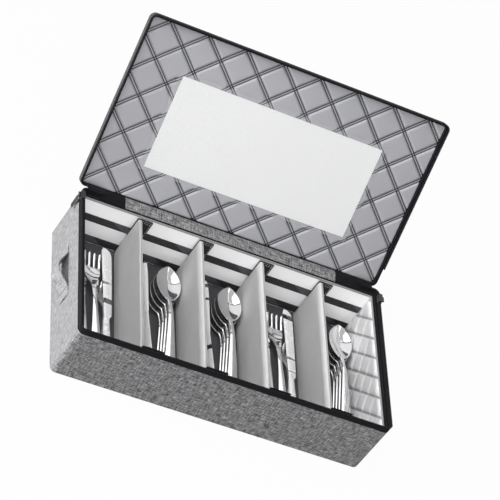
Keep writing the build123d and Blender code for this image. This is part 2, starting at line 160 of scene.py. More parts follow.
class ChestColours(bpy.types.PropertyGroup):
    """Colours of the materials."""

    cloth: FloatVectorProperty(
        name="Cloth",
        description="Melange cover of the case and lid",
        subtype="COLOR",
        default=(0.255, 0.255, 0.26),
    )
    quilt: FloatVectorProperty(
        name="Quilted lining",
        description="Satin lining of the lid",
        subtype="COLOR",
        default=(0.33, 0.33, 0.353),
    )
    lining: FloatVectorProperty(
        name="Plain lining",
        description="Lining of the front and back",
        subtype="COLOR",
        default=(0.97, 0.97, 0.97),
    )
    divider: FloatVectorProperty(
        name="Dividers",
        description="Cover of the divider boards",
        subtype="COLOR",
        default=(0.515, 0.515, 0.52),
    )
    felt: FloatVectorProperty(
        name="Felt",
        description="Pad on the floor of the case",
        subtype="COLOR",
        default=(0.055, 0.055, 0.06),
    )
    black: FloatVectorProperty(
        name="Tape",
        description="Black tape, binding and tabs",
        subtype="COLOR",
        default=(0.0085, 0.0085, 0.0095),
    )
    metal: FloatVectorProperty(
        name="Steel",
        description="Polished steel of the cutlery",
        subtype="COLOR",
        default=(0.86, 0.86, 0.865),
    )


MATERIALS = {}  # by the names that the pieces use
DASH = 0.0034  # metres from one stitch of the quilting to the next


class Skin:
    """Grids of points, in millimetres, gathered into one closed mesh with a UV map in metres."""

    def __init__(self):
        self.points, self.quads, self.uvs, self.finishes, self.count = [], [], [], [], 0

    def add(self, points, quads, uv, finish=0):
        """Adds quads over a list of points, and leaves out the points that no quad uses."""
        used, place = np.unique(quads, return_inverse=True)
        self.points.append(points[used])
        self.uvs.append(uv[used])
        self.quads.append(place.reshape(-1, 4) + self.count)
        self.finishes.append(np.full(len(quads), finish))
        self.count += len(used)

    def grid(self, p, uv, finish=0):
        """Joins each grid of rows and columns into quads.
        Axes before the last three are copies of a shape."""
        p = np.asarray(p, float)
        rows, cols = p.shape[-3:-1]
        copies = p.reshape(-1, rows * cols, 3)
        i, j = np.meshgrid(np.arange(rows - 1), np.arange(cols - 1), indexing="ij")
        first = (i * cols + j).ravel()
        quad = np.stack([first, first + 1, first + cols + 1, first + cols], -1)
        shift = self.count + np.arange(len(copies)) * rows * cols
        quads = (quad[None] + shift[:, None, None]).reshape(-1, 4)
        self.points.append(copies.reshape(-1, 3))
        self.uvs.append(np.broadcast_to(uv, p.shape[:-1] + (2,)).reshape(-1, 2))
        self.quads.append(quads)
        self.finishes.append(np.full(len(quads), finish))
        self.count += copies.shape[0] * rows * cols

    def fan(self, loop, uv, finish=0):
        """Closes a loop of points to its middle."""
        middle = np.broadcast_to(loop[:-1].mean(0), loop.shape)
        uv_middle = np.broadcast_to(uv[:-1].mean(0), uv.shape)
        self.grid(np.stack([loop, middle]), np.stack([uv, uv_middle]), finish)

    def make(self, name, finishes, crease=60):
        """Builds the object: coincident points are merged, and every face is turned outwards. finishes names
        its materials, in the order of the numbers that its grids were given."""
        mesh = bpy.data.meshes.new(name)
        quads = np.concatenate(self.quads)
        mesh.from_pydata(np.concatenate(self.points) * MM, [], quads.tolist())
        layer = mesh.uv_layers.new(name="UVMap")
        layer.data.foreach_set("uv", (np.concatenate(self.uvs) * MM)[quads.ravel()].ravel())
        mesh.polygons.foreach_set("material_index", np.concatenate(self.finishes).astype(np.int32))
        for finish in finishes.split():
            mesh.materials.append(MATERIALS[finish])
        work = bmesh.new()
        work.from_mesh(mesh)
        bmesh.ops.remove_doubles(work, verts=work.verts, dist=2e-6)
        bmesh.ops.recalc_face_normals(work, faces=work.faces)
        work.to_mesh(mesh)
        work.free()
        mesh.shade_smooth()
        mesh.set_sharp_from_angle(angle=math.radians(crease))
        obj = bpy.data.objects.new(name, mesh)
        bpy.context.scene.collection.objects.link(obj)
        return obj


def fit(skin, name, finishes, body, node, crease=60):
    """Builds a piece and lets it ride on its body, in place of the solid that it stands for."""
    piece = skin.make(name, finishes, crease)
    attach(piece, body)
    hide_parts(node)
    return piece


def dress(finish, *nodes):
    """Gives solids that keep their own shape a finish."""
    for node in nodes:
        mesh = frame["nodes"][node].data
        mesh.materials.clear()
        mesh.materials.append(MATERIALS[finish])


def opened(p):
    """Turns points of the shut lid about the hinge line to where it stands open."""
    y, z = p[..., 1] - AXIS_Y, p[..., 2] - AXIS_Z
    turned_y = AXIS_Y + math.cos(LID_OPEN) * y + math.sin(LID_OPEN) * z
    turned_z = AXIS_Z - math.sin(LID_OPEN) * y + math.cos(LID_OPEN) * z
    return np.stack([p[..., 0], turned_y, turned_z], -1)


def smooth(t):
    """0 below 0, 1 above 1, and t squared times (3 - 2 t) between."""
    t = np.clip(t, 0, 1)
    return t * t * (3 - 2 * t)


def rail(half_w, front, back, radius, gap=0.0, reach=None, step=9.0, arc=10):
    """A path seen from above, clockwise from the back: straight runs joined by quarter circles.
    gap leaves the back open between -gap and gap, and reach ends both sides at that y instead.
    Gives its points, its outward normals and the length run so far."""
    quarter = np.radians(np.linspace(0, 90, arc + 1))
    runs = []
    low, high = front + radius, back - radius
    for k, (way, y) in enumerate(((1, high), (1, low), (-1, low), (-1, high))):
        turn = math.pi / 2 * (1 - k) - quarter
        n = np.stack([np.cos(turn), np.sin(turn)], -1)
        runs.append((np.array([way * (half_w - radius), y]) + radius * n, n))
    if reach is None:
        first = (np.array([[gap, back]]), np.array([[0.0, 1.0]]))
        last = (np.array([[-gap, back]]), np.array([[0.0, 1.0]]))
    else:
        runs = runs[1:3]
        first = (np.array([[half_w, reach]]), np.array([[1.0, 0.0]]))
        last = (np.array([[-half_w, reach]]), np.array([[-1.0, 0.0]]))
    points, normals = [first[0]], [first[1]]
    for p, n in runs + [last]:
        a, b = points[-1][-1], p[0]
        count = max(1, int(np.hypot(*(b - a)) / step))
        t = np.linspace(0, 1, count + 1)[1:-1, None]
        points += [a + t * (b - a), p]
        normals += [np.repeat(normals[-1][-1:], count - 1, 0), n]
    points, normals = np.concatenate(points), np.concatenate(normals)
    return points, normals, run_of(points)


def run_of(p):
    """Length along a line of points, from its first one."""
    return np.concatenate([[0], np.cumsum(np.linalg.norm(np.diff(p, axis=0), axis=1))])


def spaced(path, pitch):
    """The same path at evenly spaced points."""
    points, normals, run = path
    count = int(run[-1] / pitch)
    at = (np.arange(count) + 0.5) * run[-1] / count
    p = np.stack([np.interp(at, run, points[:, k]) for k in (0, 1)], -1)
    n = np.stack([np.interp(at, run, normals[:, k]) for k in (0, 1)], -1)
    return p, n / np.linalg.norm(n, axis=1, keepdims=True), at


def sweep(skin, path, profile, place=None, finish=0, ends=False):
    """Carries a profile of (out, up) pairs along a path: path point plus out times its normal, at height
    up. ends closes both ends of an open path, for a profile that is a closed loop."""
    points, normals, run = path
    profile = np.asarray(profile, float)
    out = np.broadcast_to(profile[:, :1], (len(profile), len(points)))
    flat = points[None] + out[..., None] * normals[None]
    up = np.broadcast_to(profile[:, 1:], out.shape)
    p = np.concatenate([flat, up[..., None]], -1)
    if place is not None:
        p = place(p)
    uv = np.stack(np.broadcast_arrays(run[None], run_of(profile)[:, None]), -1)
    skin.grid(p, uv, finish)
    if ends:
        skin.fan(p[:, 0], profile, finish)
        skin.fan(p[:, -1], profile, finish)
    return p


def arc_rows(centre, radius, start, stop, count=5):
    """Points of a circular arc from one angle to another, in degrees."""
    turn = np.radians(np.linspace(start, stop, count))
    return [(centre[0] + radius * math.cos(a), centre[1] + radius * math.sin(a)) for a in turn]


def rounded_loop(x0, x1, y0, y1, radius, count=4):
    """A closed rounded rectangle of (out, up) pairs."""
    loop = arc_rows((x1 - radius, y1 - radius), radius, 90, 0, count)
    loop += arc_rows((x1 - radius, y0 + radius), radius, 0, -90, count)
    loop += arc_rows((x0 + radius, y0 + radius), radius, -90, -180, count)
    loop += arc_rows((x0 + radius, y1 - radius), radius, 180, 90, count)
    return loop + loop[:1]


def cuts(low, high, step, edge):
    """Grid lines between two bounds, about a step apart and closer together beside each edge."""
    near = edge * np.array([0, 0.08, 0.25, 0.5, 0.75])
    inner = np.linspace(low + edge, high - edge, max(2, int((high - low - 2 * edge) / step) + 1))
    return np.concatenate([low + near, inner, high - near[::-1]])


def shoulder(u, v, edge):
    """How far the cloth falls beside the sides of a board: a quarter circle, 1 at the edge and 0 inside."""
    near = np.minimum(np.minimum(u - u.min(), u.max() - u), np.minimum(v - v.min(), v.max() - v))
    t = np.clip(1 - near / edge, 0, 1)
    return 1 - np.sqrt(1 - t * t)


def panel(skin, place, u, v, face, back=0.0, edge=1.0, corner=0.0):
    """A covered board: face gives its height over a grid of u and v, its sides fall in a quarter circle of
    the size edge, and a flat back closes it. corner bends the grid's four corners round by the squircle
    rule, x times the root of (1 - y squared / 2)."""
    u, v = np.meshgrid(u, v, indexing="ij")
    height = face(u, v) - edge * shoulder(u, v, edge)
    if corner:
        mid_u, mid_v = (u.min() + u.max()) / 2, (v.min() + v.max()) / 2
        reach_u, reach_v = u.max() - mid_u - corner, v.max() - mid_v - corner
        a = np.clip((np.abs(u - mid_u) - reach_u) / corner, 0, 1)
        b = np.clip((np.abs(v - mid_v) - reach_v) / corner, 0, 1)
        u = u - np.sign(u - mid_u) * corner * (a - a * np.sqrt(1 - b * b / 2))
        v = v - np.sign(v - mid_v) * corner * (b - b * np.sqrt(1 - a * a / 2))
    p = place(u, v, height)
    uv = np.stack([u, v], -1)
    skin.grid(p, uv)
    low = place(u, v, np.full_like(u, back))
    sheets = (p, low, uv)
    loop, low_loop, uv_loop = (np.concatenate([g[0], g[1:, -1], g[-1, -2::-1], g[-2::-1, 0]]) for g in sheets)
    skin.grid(np.stack([loop, low_loop]), np.stack([uv_loop, uv_loop]))
    skin.fan(low_loop, uv_loop)


def against(axis, wall, way):
    """A way of placing a board that stands on a wall across X (axis 0) or Y (axis 1): a runs along the
    wall, b up it, and h out from it, the way that way says."""

    def place(a, b, h):
        out = wall + way * h
        return np.stack([out, a, b] if axis == 0 else [a, out, b], -1)

    return place


def threads(skin, starts, ends, normal, width, finish):
    """Stitches: each is a thin bar from start to end, round
    across and highest halfway, dipping in at its ends."""
    starts, ends = np.asarray(starts, float), np.asarray(ends, float)
    normal = np.broadcast_to(np.asarray(normal, float), starts.shape)
    along = ends - starts
    across = np.cross(along, normal)
    across /= np.linalg.norm(across, axis=-1, keepdims=True)
    t = np.array([0, 0.12, 0.5, 0.88, 1.0])
    thick = np.array([0, 0.75, 1.0, 0.75, 0])
    turn = np.linspace(0, 2 * math.pi, 7)
    side = thick[:, None] * np.cos(turn) * width / 2
    up = thick[:, None] * (THREAD_RISE * 0.5 * np.sin(turn) + THREAD_RISE * 0.4) - 0.12 * (1 - thick[:, None])
    p = (
        starts[:, None, None, :]
        + t[None, :, None, None] * along[:, None, None, :]
        + side[None, :, :, None] * across[:, None, None, :]
        + up[None, :, :, None] * normal[:, None, None, :]
    )
    uv = np.stack(np.broadcast_arrays(t[:, None] * 2.5, turn[None, :] * 0.3), -1)
    skin.grid(p, uv, finish)


def stitched(skin, line, normal, pitch, finish=1, width=THREAD_W):
    """A row of stitches along a line of points."""
    line = np.asarray(line, float)
    run = run_of(line)
    count = max(1, int(run[-1] / pitch))
    at = (np.arange(count) + 0.5 - STITCH_SHARE / 2) * run[-1] / count
    ends = at + STITCH_SHARE * run[-1] / count
    a, b = (np.stack([np.interp(s, run, line[:, k]) for k in range(3)], -1) for s in (at, ends))
    threads(skin, a, b, normal, width, finish)


# ---- materials


class Value:
    """A number that changes over a surface. Sums, products and quotients of it add Math nodes."""

    def __init__(self, paint, socket):
        self.paint, self.socket = paint, socket

    def math(self, operation, *others):
        return self.paint.node("ShaderNodeMath", {"operation": operation}, dict(enumerate((self, *others))))

    def __add__(self, other):
        return self.math("ADD", other)

    def __sub__(self, other):
        return self.math("SUBTRACT", other)

    def __mul__(self, other):
        return self.math("MULTIPLY", other)

    def __truediv__(self, other):
        return self.math("DIVIDE", other)

    def __rsub__(self, other):
        return (self * -1) + other

    __radd__ = __add__
    __rmul__ = __mul__

    def step(self, low, high):
        """0 up to low, 1 from high on, and smooth between."""
        settings = {"interpolation_type": "SMOOTHSTEP"}
        return self.paint.node("ShaderNodeMapRange", settings, {0: self, 1: low, 2: high, 3: 0.0, 4: 1.0})

    def wave(self):
        """Distance from the nearest whole number, 0 to 0.5."""
        return self.math("PINGPONG", 0.5)

    def absolute(self):
        return self.math("ABSOLUTE")

    def least(self, other):
        return self.math("MINIMUM", other)

    def most(self, other):
        return self.math("MAXIMUM", other)


class Nodes:
    """A node tree, of a material or of the world."""

    def __init__(self, tree):
        self.tree = tree

    def node(self, kind, settings=None, inputs=None, out=0):
        made = self.tree.nodes.new(kind)
        for key, value in (settings or {}).items():
            setattr(made, key, value)
        for key, value in (inputs or {}).items():
            self.plug(made.inputs[key], value)
        return Value(self, made.outputs[out])

    def plug(self, socket, value):
        if isinstance(value, Value):
            self.tree.links.new(value.socket, socket)
        elif hasattr(value, "__len__") and len(value) == 3 and len(socket.default_value) == 4:
            socket.default_value = (*value, 1.0)
        else:
            socket.default_value = value

    def cloth_place(self):
        return self.node("ShaderNodeUVMap", {"uv_map": "UVMap"})

    def object_place(self):
        return self.node("ShaderNodeTexCoord", out=3)

    def light_path(self, ray):
        path = self.node("ShaderNodeLightPath").socket.node
        return Value(self, path.outputs[ray])

    def parts(self, vector):
        split = self.node("ShaderNodeSeparateXYZ", None, {0: vector}).socket.node
        return [Value(self, s) for s in split.outputs]

    def stretched(self, vector, x, y, z=1.0):
        return self.node("ShaderNodeMapping", None, {"Vector": vector, "Scale": (x, y, z)})

    def noise(self, vector, scale, detail=2.0, rough=0.5, distort=0.0):
        inputs = {"Vector": vector, "Scale": scale, "Detail": detail}
        inputs |= {"Roughness": rough, "Distortion": distort}
        return self.node("ShaderNodeTexNoise", None, inputs)

    def mix(self, share, first, second, blend="MIX"):
        settings = {"data_type": "RGBA", "blend_type": blend}
        return self.node("ShaderNodeMix", settings, {0: share, 6: first, 7: second}, out=2)

    def bump(self, height, distance, strength=1.0, under=None):
        inputs = {"Height": height, "Distance": distance, "Strength": strength}
        if under is not None:
            inputs["Normal"] = under
        return self.node("ShaderNodeBump", None, inputs)


class Paint(Nodes):
    """One material: its Principled shader, and the nodes that feed it."""

    def __init__(self, name, **fixed):
        self.material = bpy.data.materials.new(name)
        self.material.use_nodes = True
        super().__init__(self.material.node_tree)
        self.shader = self.tree.nodes["Principled BSDF"]
        self.feed(**fixed)

    def feed(self, **inputs):
        """Sets the shader's own sockets, or links values to them."""
        for socket, value in inputs.items():
            self.plug(self.shader.inputs[socket.replace("_", " ")], value)

    def dye(self, colour, amount):
        """Gives the shader a colour made darker or lighter by a value."""
        grey = self.node("ShaderNodeCombineColor", None, {0: amount, 1: amount, 2: amount})
        self.feed(Base_Color=self.mix(1.0, (*colour, 1.0), grey, "MULTIPLY"))


def melange(name, colour):
    """Plain-woven cloth of mixed yarns: two crossing sets of stretched noise, with pale slubs and dark
    flecks. The yarns stand out less on the ends, and the ends are painted paler, as painted light from the
    side."""
    paint = Paint(name, Roughness=0.92, Sheen_Weight=0.05, Sheen_Roughness=0.5, Specular_IOR_Level=0.12)
    place = paint.cloth_place()
    x, y, _ = paint.parts(place)
    # painted light: faces whose normals lie along X, the ends, are painted paler and show less yarn
    painted_end_light = paint.parts(paint.node("ShaderNodeTexCoord", out=1))[0].absolute().step(0.5, 0.95)
    warp = paint.noise(paint.stretched(place, 490, 85), 1.0, 3.0, 0.62)
    weft = paint.noise(paint.stretched(place, 85, 490), 1.0, 3.0, 0.62)
    pale = warp.step(0.50, 0.66) + weft.step(0.50, 0.66)
    dark = (1 - warp.step(0.34, 0.50)) + (1 - weft.step(0.34, 0.50))
    fine = paint.noise(place, 900.0, 3.0, 0.7)
    fleck = paint.noise(place, 330.0, 3.0, 0.65).step(0.57, 0.66)
    cloud = paint.noise(place, 34.0, 2.0)
    over = (x * 900).wave() + (y * 900).wave()
    pattern = pale * 0.56 - dark * 0.36 + (fine - 0.5) * 1.9 - fleck * 0.42 + (cloud - 0.5) * 0.16
    amount = 0.78 + painted_end_light * 0.20 + pattern * (1 - painted_end_light * 0.45)
    paint.dye(colour, amount.most(0.16))
    height = over * 0.3 + pale * 0.4 - dark * 0.3 + fine * 0.5
    paint.feed(Normal=paint.bump(height, 0.0009, 1.0))
    return paint.material


def plain_lining(name, colour):
    """Smooth coated lining with a fine emboss and soft creases."""
    paint = Paint(name, Roughness=0.42, Specular_IOR_Level=0.35)
    place = paint.object_place()
    grain = paint.noise(place, 1400.0, 3.0, 0.6)
    crease = paint.noise(paint.stretched(place, 9, 9, 22), 1.0, 2.0)
    amount = 0.98 + grain * 0.06 + (crease - 0.5) * 0.06
    paint.dye(colour, amount.least(1.02))
    paint.feed(Roughness=0.36 + grain * 0.16)
    fine = paint.bump(grain, 0.00012, 0.7)
    paint.feed(Normal=paint.bump(crease, 0.0012, 0.5, fine))
    return paint.material


def quilted(name, colour, diamond, origin, across, width, painted_row_tones):
    """Satin lining sewn in diamonds. Each channel carries two rows of sunk stitches beside a raised middle.
    The rows lie across from that middle and are width wide, and tones say how dark each set of them is
    painted: dark thread with painted shade in the sunk row, or, where a tone is below 0, a painted highlight."""
    paint = Paint(name, Specular_IOR_Level=0.4)
    place = paint.cloth_place()
    wide, long = diamond
    x, y, _ = paint.parts(place)
    first = x / wide + (y - origin) / long
    second = x / wide - (y - origin) / long
    gap = 1 / math.hypot(1 / wide, 1 / long)
    rows, thread_and_painted_shade = [], []
    for line, along, tone in ((first, second, painted_row_tones[0]), (second, first, painted_row_tones[1])):
        away = line.wave() * gap
        row = 1 - (away - across).absolute().step(0.3 * width, 0.75 * width)
        dash = 1 - (along * (gap / DASH)).wave().step(0.12, 0.26)
        rows.append(row)
        # painted shade: each row darkens over its whole width, between the thread's dashes too; a negative
        # tone paints a highlight along the row instead
        thread_and_painted_shade.append(row * (0.72 + dash * 0.28) * tone)
    row = rows[0].most(rows[1])
    grain = paint.noise(place, 2300.0, 2.0, 0.6)
    thread = paint.noise(paint.stretched(place, 300, 2600), 1.0, 2.0)
    cloud = paint.noise(place, 30.0, 2.0)
    amount = 0.96 + grain * 0.06 + (thread - 0.5) * 0.08 + (cloud - 0.5) * 0.07 - thread_and_painted_shade[0] - thread_and_painted_shade[1]
    paint.dye(colour, amount.most(0.05))
    paint.feed(Roughness=0.40 + grain * 0.12 + row * 0.2)
    fine = paint.bump(grain * 0.6 + thread * 0.4, 0.0001, 0.7)
    paint.feed(Normal=paint.bump(1 - row, 0.0008, 0.8, fine))
    return paint.material


def ribbed(name, colour, pitch, rough=0.8, depth=0.0004, speck=0.0, near=0.0):
    """Narrow woven tape: fine ribs across its length, with a herringbone of lighter yarn. near paints shade
    over the run of it along the left and front sides of the case."""
    paint = Paint(name, Specular_IOR_Level=0.05, Sheen_Weight=0.01)
    place = paint.cloth_place()
    x, y, _ = paint.parts(place)
    ribs = (x / pitch).wave() * 2
    rows = (y / pitch).wave() * 2
    yarn = paint.noise(paint.stretched(place, 500, 1800), 1.0, 2.0, 0.6)
    lint = paint.noise(place, 900.0, 3.0, 0.7).step(0.62, 0.75)
    amount = 0.6 + ribs * 0.5 + rows * 0.25 + yarn * 0.4 + lint * speck
    if near:
        # painted shade: the run along the left and front sides is darkened by near
        across, along, _ = paint.parts(paint.object_place())
        left, front = ((half - RIM_W - 0.6) * MM for half in (HALF_W, HALF_D))
        side = (across * -1).step(left, left + 0.0004).most((along * -1).step(front, front + 0.0004))
        amount = amount * (1 - side * near)
    paint.dye(colour, amount)
    paint.feed(Roughness=rough - ribs * 0.15)
    paint.feed(Normal=paint.bump(ribs * 0.6 + rows * 0.4 + yarn * 0.3, depth, 0.9))
    return paint.material


def felted(name, colour):
    """Matted fibre: short strokes of noise in every direction, with paler lint."""
    paint = Paint(name, Roughness=1.0, Sheen_Weight=0.35, Sheen_Roughness=0.6, Specular_IOR_Level=0.1)
    place = paint.object_place()
    fibre = paint.noise(place, 700.0, 4.0, 0.7, 1.5)
    lint = paint.noise(place, 320.0, 3.0, 0.65, 2.0).step(0.6, 0.74)
    cloud = paint.noise(place, 24.0, 2.0)
    paint.dye(colour, 0.5 + fibre * 0.7 + lint * 0.6 + (cloud - 0.5) * 0.35)
    paint.feed(Normal=paint.bump(fibre + lint * 0.4, 0.0009, 0.9))
    return paint.material


def polished(name, colour, satin=0.0):
    """Polished steel with a faint brushed direction, light scuffs and a soft smear here and there. satin
    adds a dull brushed finish, near-white and hardly metallic as a painted bright reflection, with narrow
    bands across the length left shiny and painted dark as painted reflections."""
    paint = Paint(name)
    place = paint.object_place()
    brush = paint.noise(paint.stretched(place, 1500, 30, 1500), 1.0, 2.0)
    smear = paint.noise(place, 60.0, 3.0, 0.6)
    # painted reflection: narrow bands across the length darken the colour
    band = paint.noise(paint.stretched(place, 5, 62, 5), 1.0, 1.0, 0.3).step(0.60, 0.63)
    paint.dye(colour, (0.96 + smear * 0.06) * (1 - band * satin * 0.85))
    # painted reflection: the dull share loses its metal and shows the pale colour as a bright diffuse surface
    dull = satin * (1 - band)
    paint.feed(Metallic=0.95 - smear.step(0.5, 0.9) * 0.06 - dull * 0.95)
    paint.feed(Roughness=0.03 + brush * 0.03 + smear.step(0.5, 0.8) * 0.04 + dull * 0.3)
    paint.feed(Normal=paint.bump(brush, 0.00002, 0.5))
    return paint.material


def paper(name):
    """Smooth white card with a faint tooth."""
    paint = Paint(name, Specular_IOR_Level=0.3)
    place = paint.object_place()
    tooth = paint.noise(place, 1500.0, 3.0, 0.6)
    cloud = paint.noise(place, 12.0, 2.0)
    paint.dye((0.71, 0.715, 0.71), 0.992 + tooth * 0.015 + (cloud - 0.5) * 0.03)
    paint.feed(Roughness=0.5 + tooth * 0.15)
    paint.feed(Normal=paint.bump(tooth, 0.00002, 0.5))
    return paint.material


def clear_film(name):
    """Clear sheet: nearly all see-through, a little hazier in its scuffs, with a sharp gloss."""
    paint = Paint(name, Base_Color=(0.8, 0.81, 0.82, 1.0), Specular_IOR_Level=0.5)
    place = paint.object_place()
    scuff = paint.noise(paint.stretched(place, 60, 400, 60), 1.0, 3.0, 0.6)
    paint.feed(Alpha=0.05 + scuff * 0.02)
    paint.feed(Roughness=0.08 + scuff * 0.05)
    paint.feed(Normal=paint.bump(paint.noise(place, 14.0, 1.0), 0.0003, 0.3))
    return paint.material


def enamelled(name):
    """Black painted metal: an uneven satin coat, worn to bare metal in small scattered spots."""
    paint = Paint(name, Specular_IOR_Level=0.5)
    place = paint.object_place()
    peel = paint.noise(place, 900.0, 2.0)
    worn = paint.noise(place, 420.0, 3.0, 0.7).step(0.70, 0.76)
    paint.feed(Base_Color=paint.mix(worn, (0.018, 0.018, 0.02, 1.0), (0.42, 0.42, 0.43, 1.0)))
    paint.feed(Metallic=worn, Roughness=0.32 + peel * 0.16)
    paint.feed(Normal=paint.bump(peel, 0.00008, 0.6))
    return paint.material


def thread(name, colour):
    """Twisted sewing thread: fine slanting plies."""
    paint = Paint(name, Roughness=0.75, Sheen_Weight=0.3)
    x, y, _ = paint.parts(paint.cloth_place())
    ply = ((x + y * 1.2) * 900).wave() * 2
    paint.dye(colour, 0.75 + ply * 0.35)
    paint.feed(Normal=paint.bump(ply, 0.0001, 0.8))
    return paint.material


def board_cloth(name, colour):
    """Fine flat cloth over a board: a close weave with a
    soft mottle, painted darker low in the bays and paler towards the top, as painted shade."""
    paint = Paint(name, Roughness=0.85, Sheen_Weight=0.2, Specular_IOR_Level=0.25)
    place = paint.object_place()
    warp = paint.noise(paint.stretched(place, 1800, 1800, 350), 1.0, 2.0)
    weave = warp + paint.noise(paint.stretched(place, 1800, 350, 1800), 1.0, 2.0)
    cloud = paint.noise(place, 40.0, 3.0)
    # painted shade: darker near the floor, paler higher up the board
    height = paint.parts(place)[2].step(0.005, 0.08)
    amount = 0.66 + weave * 0.2 + height * 0.16 + (cloud - 0.5) * 0.12
    paint.dye(colour, amount)
    paint.feed(Normal=paint.bump(weave, 0.0002, 0.8))
    return paint.material


def hook_tape(name, colour):
    """Hook-and-loop tape: dense tiny loops in rows, with paler slanting patches that are a painted
    reflection.
    """
    paint = Paint(name, Roughness=0.75, Sheen_Weight=0.06, Sheen_Roughness=0.4, Specular_IOR_Level=0.3)
    place = paint.object_place()
    loops = paint.noise(paint.stretched(place, 900, 900, 650), 1.0, 3.0, 0.7, 1.0)
    rows = paint.parts(paint.stretched(place, 700, 700, 700))[2].wave() * 2
    cloud = paint.noise(place, 32.0, 2.0)
    x, _, z = paint.parts(place)
    # painted reflection: slanting pale bands across the tape
    painted_sheen = (x * 10.5 + z * 16 + 0.2).wave().step(0.34, 0.40) * 1.3
    amount = 0.5 + loops.step(0.45, 0.75) * 1.6 + (cloud - 0.5) * 0.6 + painted_sheen
    paint.dye(colour, amount)
    paint.feed(Normal=paint.bump(loops * 0.7 + rows * 0.3, 0.0007, 1.0))
    return paint.material


def mix_materials(colours, sizes):
    """Makes every material once, under the names that the pieces use."""
    black = colours.black
    lid_diamond, end_diamond = (sizes.quilt_w, sizes.quilt_l), (sizes.end_quilt, sizes.end_quilt)
    # the end rows' second tone is below 0: a painted highlight along one set of channels
    lid_rows, end_rows = (0.0016, 0.0015, (1.0, 1.0)), (0.0006, 0.0020, (0.66, -0.3))
    MATERIALS.update(
        cloth=melange("melange_cloth", colours.cloth),
        band=melange("melange_band", [1.11 * c for c in colours.cloth]),
        skirt=melange("dark_melange", [0.3 * c for c in colours.cloth]),
        lining=plain_lining("plain_lining", colours.lining),
        felt=felted("floor_felt", colours.felt),
        tape=ribbed("black_tape", black, 0.0016, speck=0.5),
        gusset=ribbed("black_gusset", black, 0.0011, speck=0.3),
        teeth=ribbed("zip_teeth", [1.6 * c for c in black], 0.0007, 0.45, 0.0002),
        # near paints shade on the piping along the left and front sides
        piping=ribbed("grey_piping", (0.26, 0.26, 0.265), 0.0012, 0.75, near=0.94),
        tab=hook_tape("black_hook_tape", [1.6 * c for c in black]),
        hooks=hook_tape("grey_hook_tape", [4.2 * c for c in black]),
        divider=board_cloth("divider_cloth", colours.divider),
        steel=polished("polished_steel", colours.metal),
        # satin and brushed steel: pale colours standing in for bright reflections, with painted dark
        # reflection bands
        satin=polished("satin_steel", (0.97, 0.97, 0.975), 1.0),
        brushed=polished("brushed_steel", (0.93, 0.93, 0.935), 0.75),
        lid_quilt=quilted("quilted_satin", colours.quilt, lid_diamond, QUILT_START * MM, *lid_rows),
        # painted light: the end linings are a much paler copy of the lid's quilted satin, for the lamp on the
        # left
        end_quilt=quilted("quilted_ends", (0.88, 0.88, 0.89), end_diamond, sizes.end_quilt / 2, *end_rows),
        card=paper("white_card"),
        film=clear_film("clear_film"),
        enamel=enamelled("black_enamel"),
        white_thread=thread("white_thread", (0.75, 0.75, 0.76)),
        grey_thread=thread("grey_thread", (0.28, 0.28, 0.29)),
        dark_thread=thread("dark_thread", (0.12, 0.12, 0.125)),
        black_thread=thread("black_thread", (0.03, 0.03, 0.032)),
    )


# ---- pieces


def make_tray():
    """The covered case: an outer wall with a rounded foot, the rim, an inner wall and two floors."""
    skin = Skin()
    path = rail(HALF_W, -HALF_D, HALF_D, CORNER)
    foot = arc_rows((-FOOT, FOOT), FOOT, -90, 0, 6)
    wall = [(0.0, z) for z in np.linspace(FOOT, CASE_H - RIM_SHOULDER, 14)]
    shoulder_top = (-RIM_SHOULDER, CASE_H)
    outer = sweep(skin, path, foot + wall[1:] + [shoulder_top])
    skin.fan(outer[0], outer[0][:, :2])
    lining_back = BOARD - RIM_W
    inner = sweep(skin, path, [shoulder_top, (lining_back, CASE_H), (lining_back, BOARD)])
    skin.fan(inner[-1], inner[-1][:, :2])
    fit(skin, "tray_cover", "cloth", "chest", "shell_tray", 40)


def make_floor_pad():
    """The felt pad, a thin board with soft edges."""
    low, high = span("floor_pad")
    skin = Skin()
    u, v = cuts(low[0], high[0], 8, 1.0), cuts(low[1], high[1], 8, 1.0)

    def face(a, b):
        return high[2] + 0.12 * np.sin(a / 13.0) * np.sin(b / 11.0) - 0.12

    panel(skin, lambda a, b, h: np.stack([a, b, h], -1), u, v, face, low[2], 1.0, CORNER - FELT_INSET)
    fit(skin, "floor_felt", "felt", "chest", "floor_pad", 40)


def make_plain_linings():
    """The long linings of the front and back, soft boards that face each other."""
    for name, way in (("back", -1), ("front", 1)):
        low, high = span(f"liner_{name}")
        wall = high[1] if way < 0 else low[1]
        skin = Skin()
        u, v = cuts(low[0], high[0], 7, 1.2), cuts(low[2], high[2], 5, 1.2)
        thick = high[1] - low[1]

        def face(a, b):
            return thick - 0.15 + 0.12 * np.sin(a / 23.0 + b / 15.0) * np.sin(b / 19.0)

        panel(skin, against(1, wall, way), u, v, face, 0.0, 1.2)
        fit(skin, f"{name}_lining", "lining", "chest", f"liner_{name}", 40)


def diamonds(x, y, wide, long, origin, rise):
    """Heights of a quilted face: away from the nearest of two crossing sets of channels each pad climbs to
    a flat crown, and a low ridge runs between the two rows of stitches in the channel."""
    gap = 1 / math.hypot(1 / wide, 1 / long)
    first = x / wide + (y - origin) / long
    second = x / wide - (y - origin) / long
    away = np.minimum(np.abs(first - np.round(first)), np.abs(second - np.round(second))) * gap
    pad = smooth((away - 2.4) / 1.9) * (0.9 + 0.1 * np.clip(away / (gap * 0.4), 0, 1))
    ridge = 0.3 * (1 - smooth(away / 1.4))
    return rise * (pad + ridge)


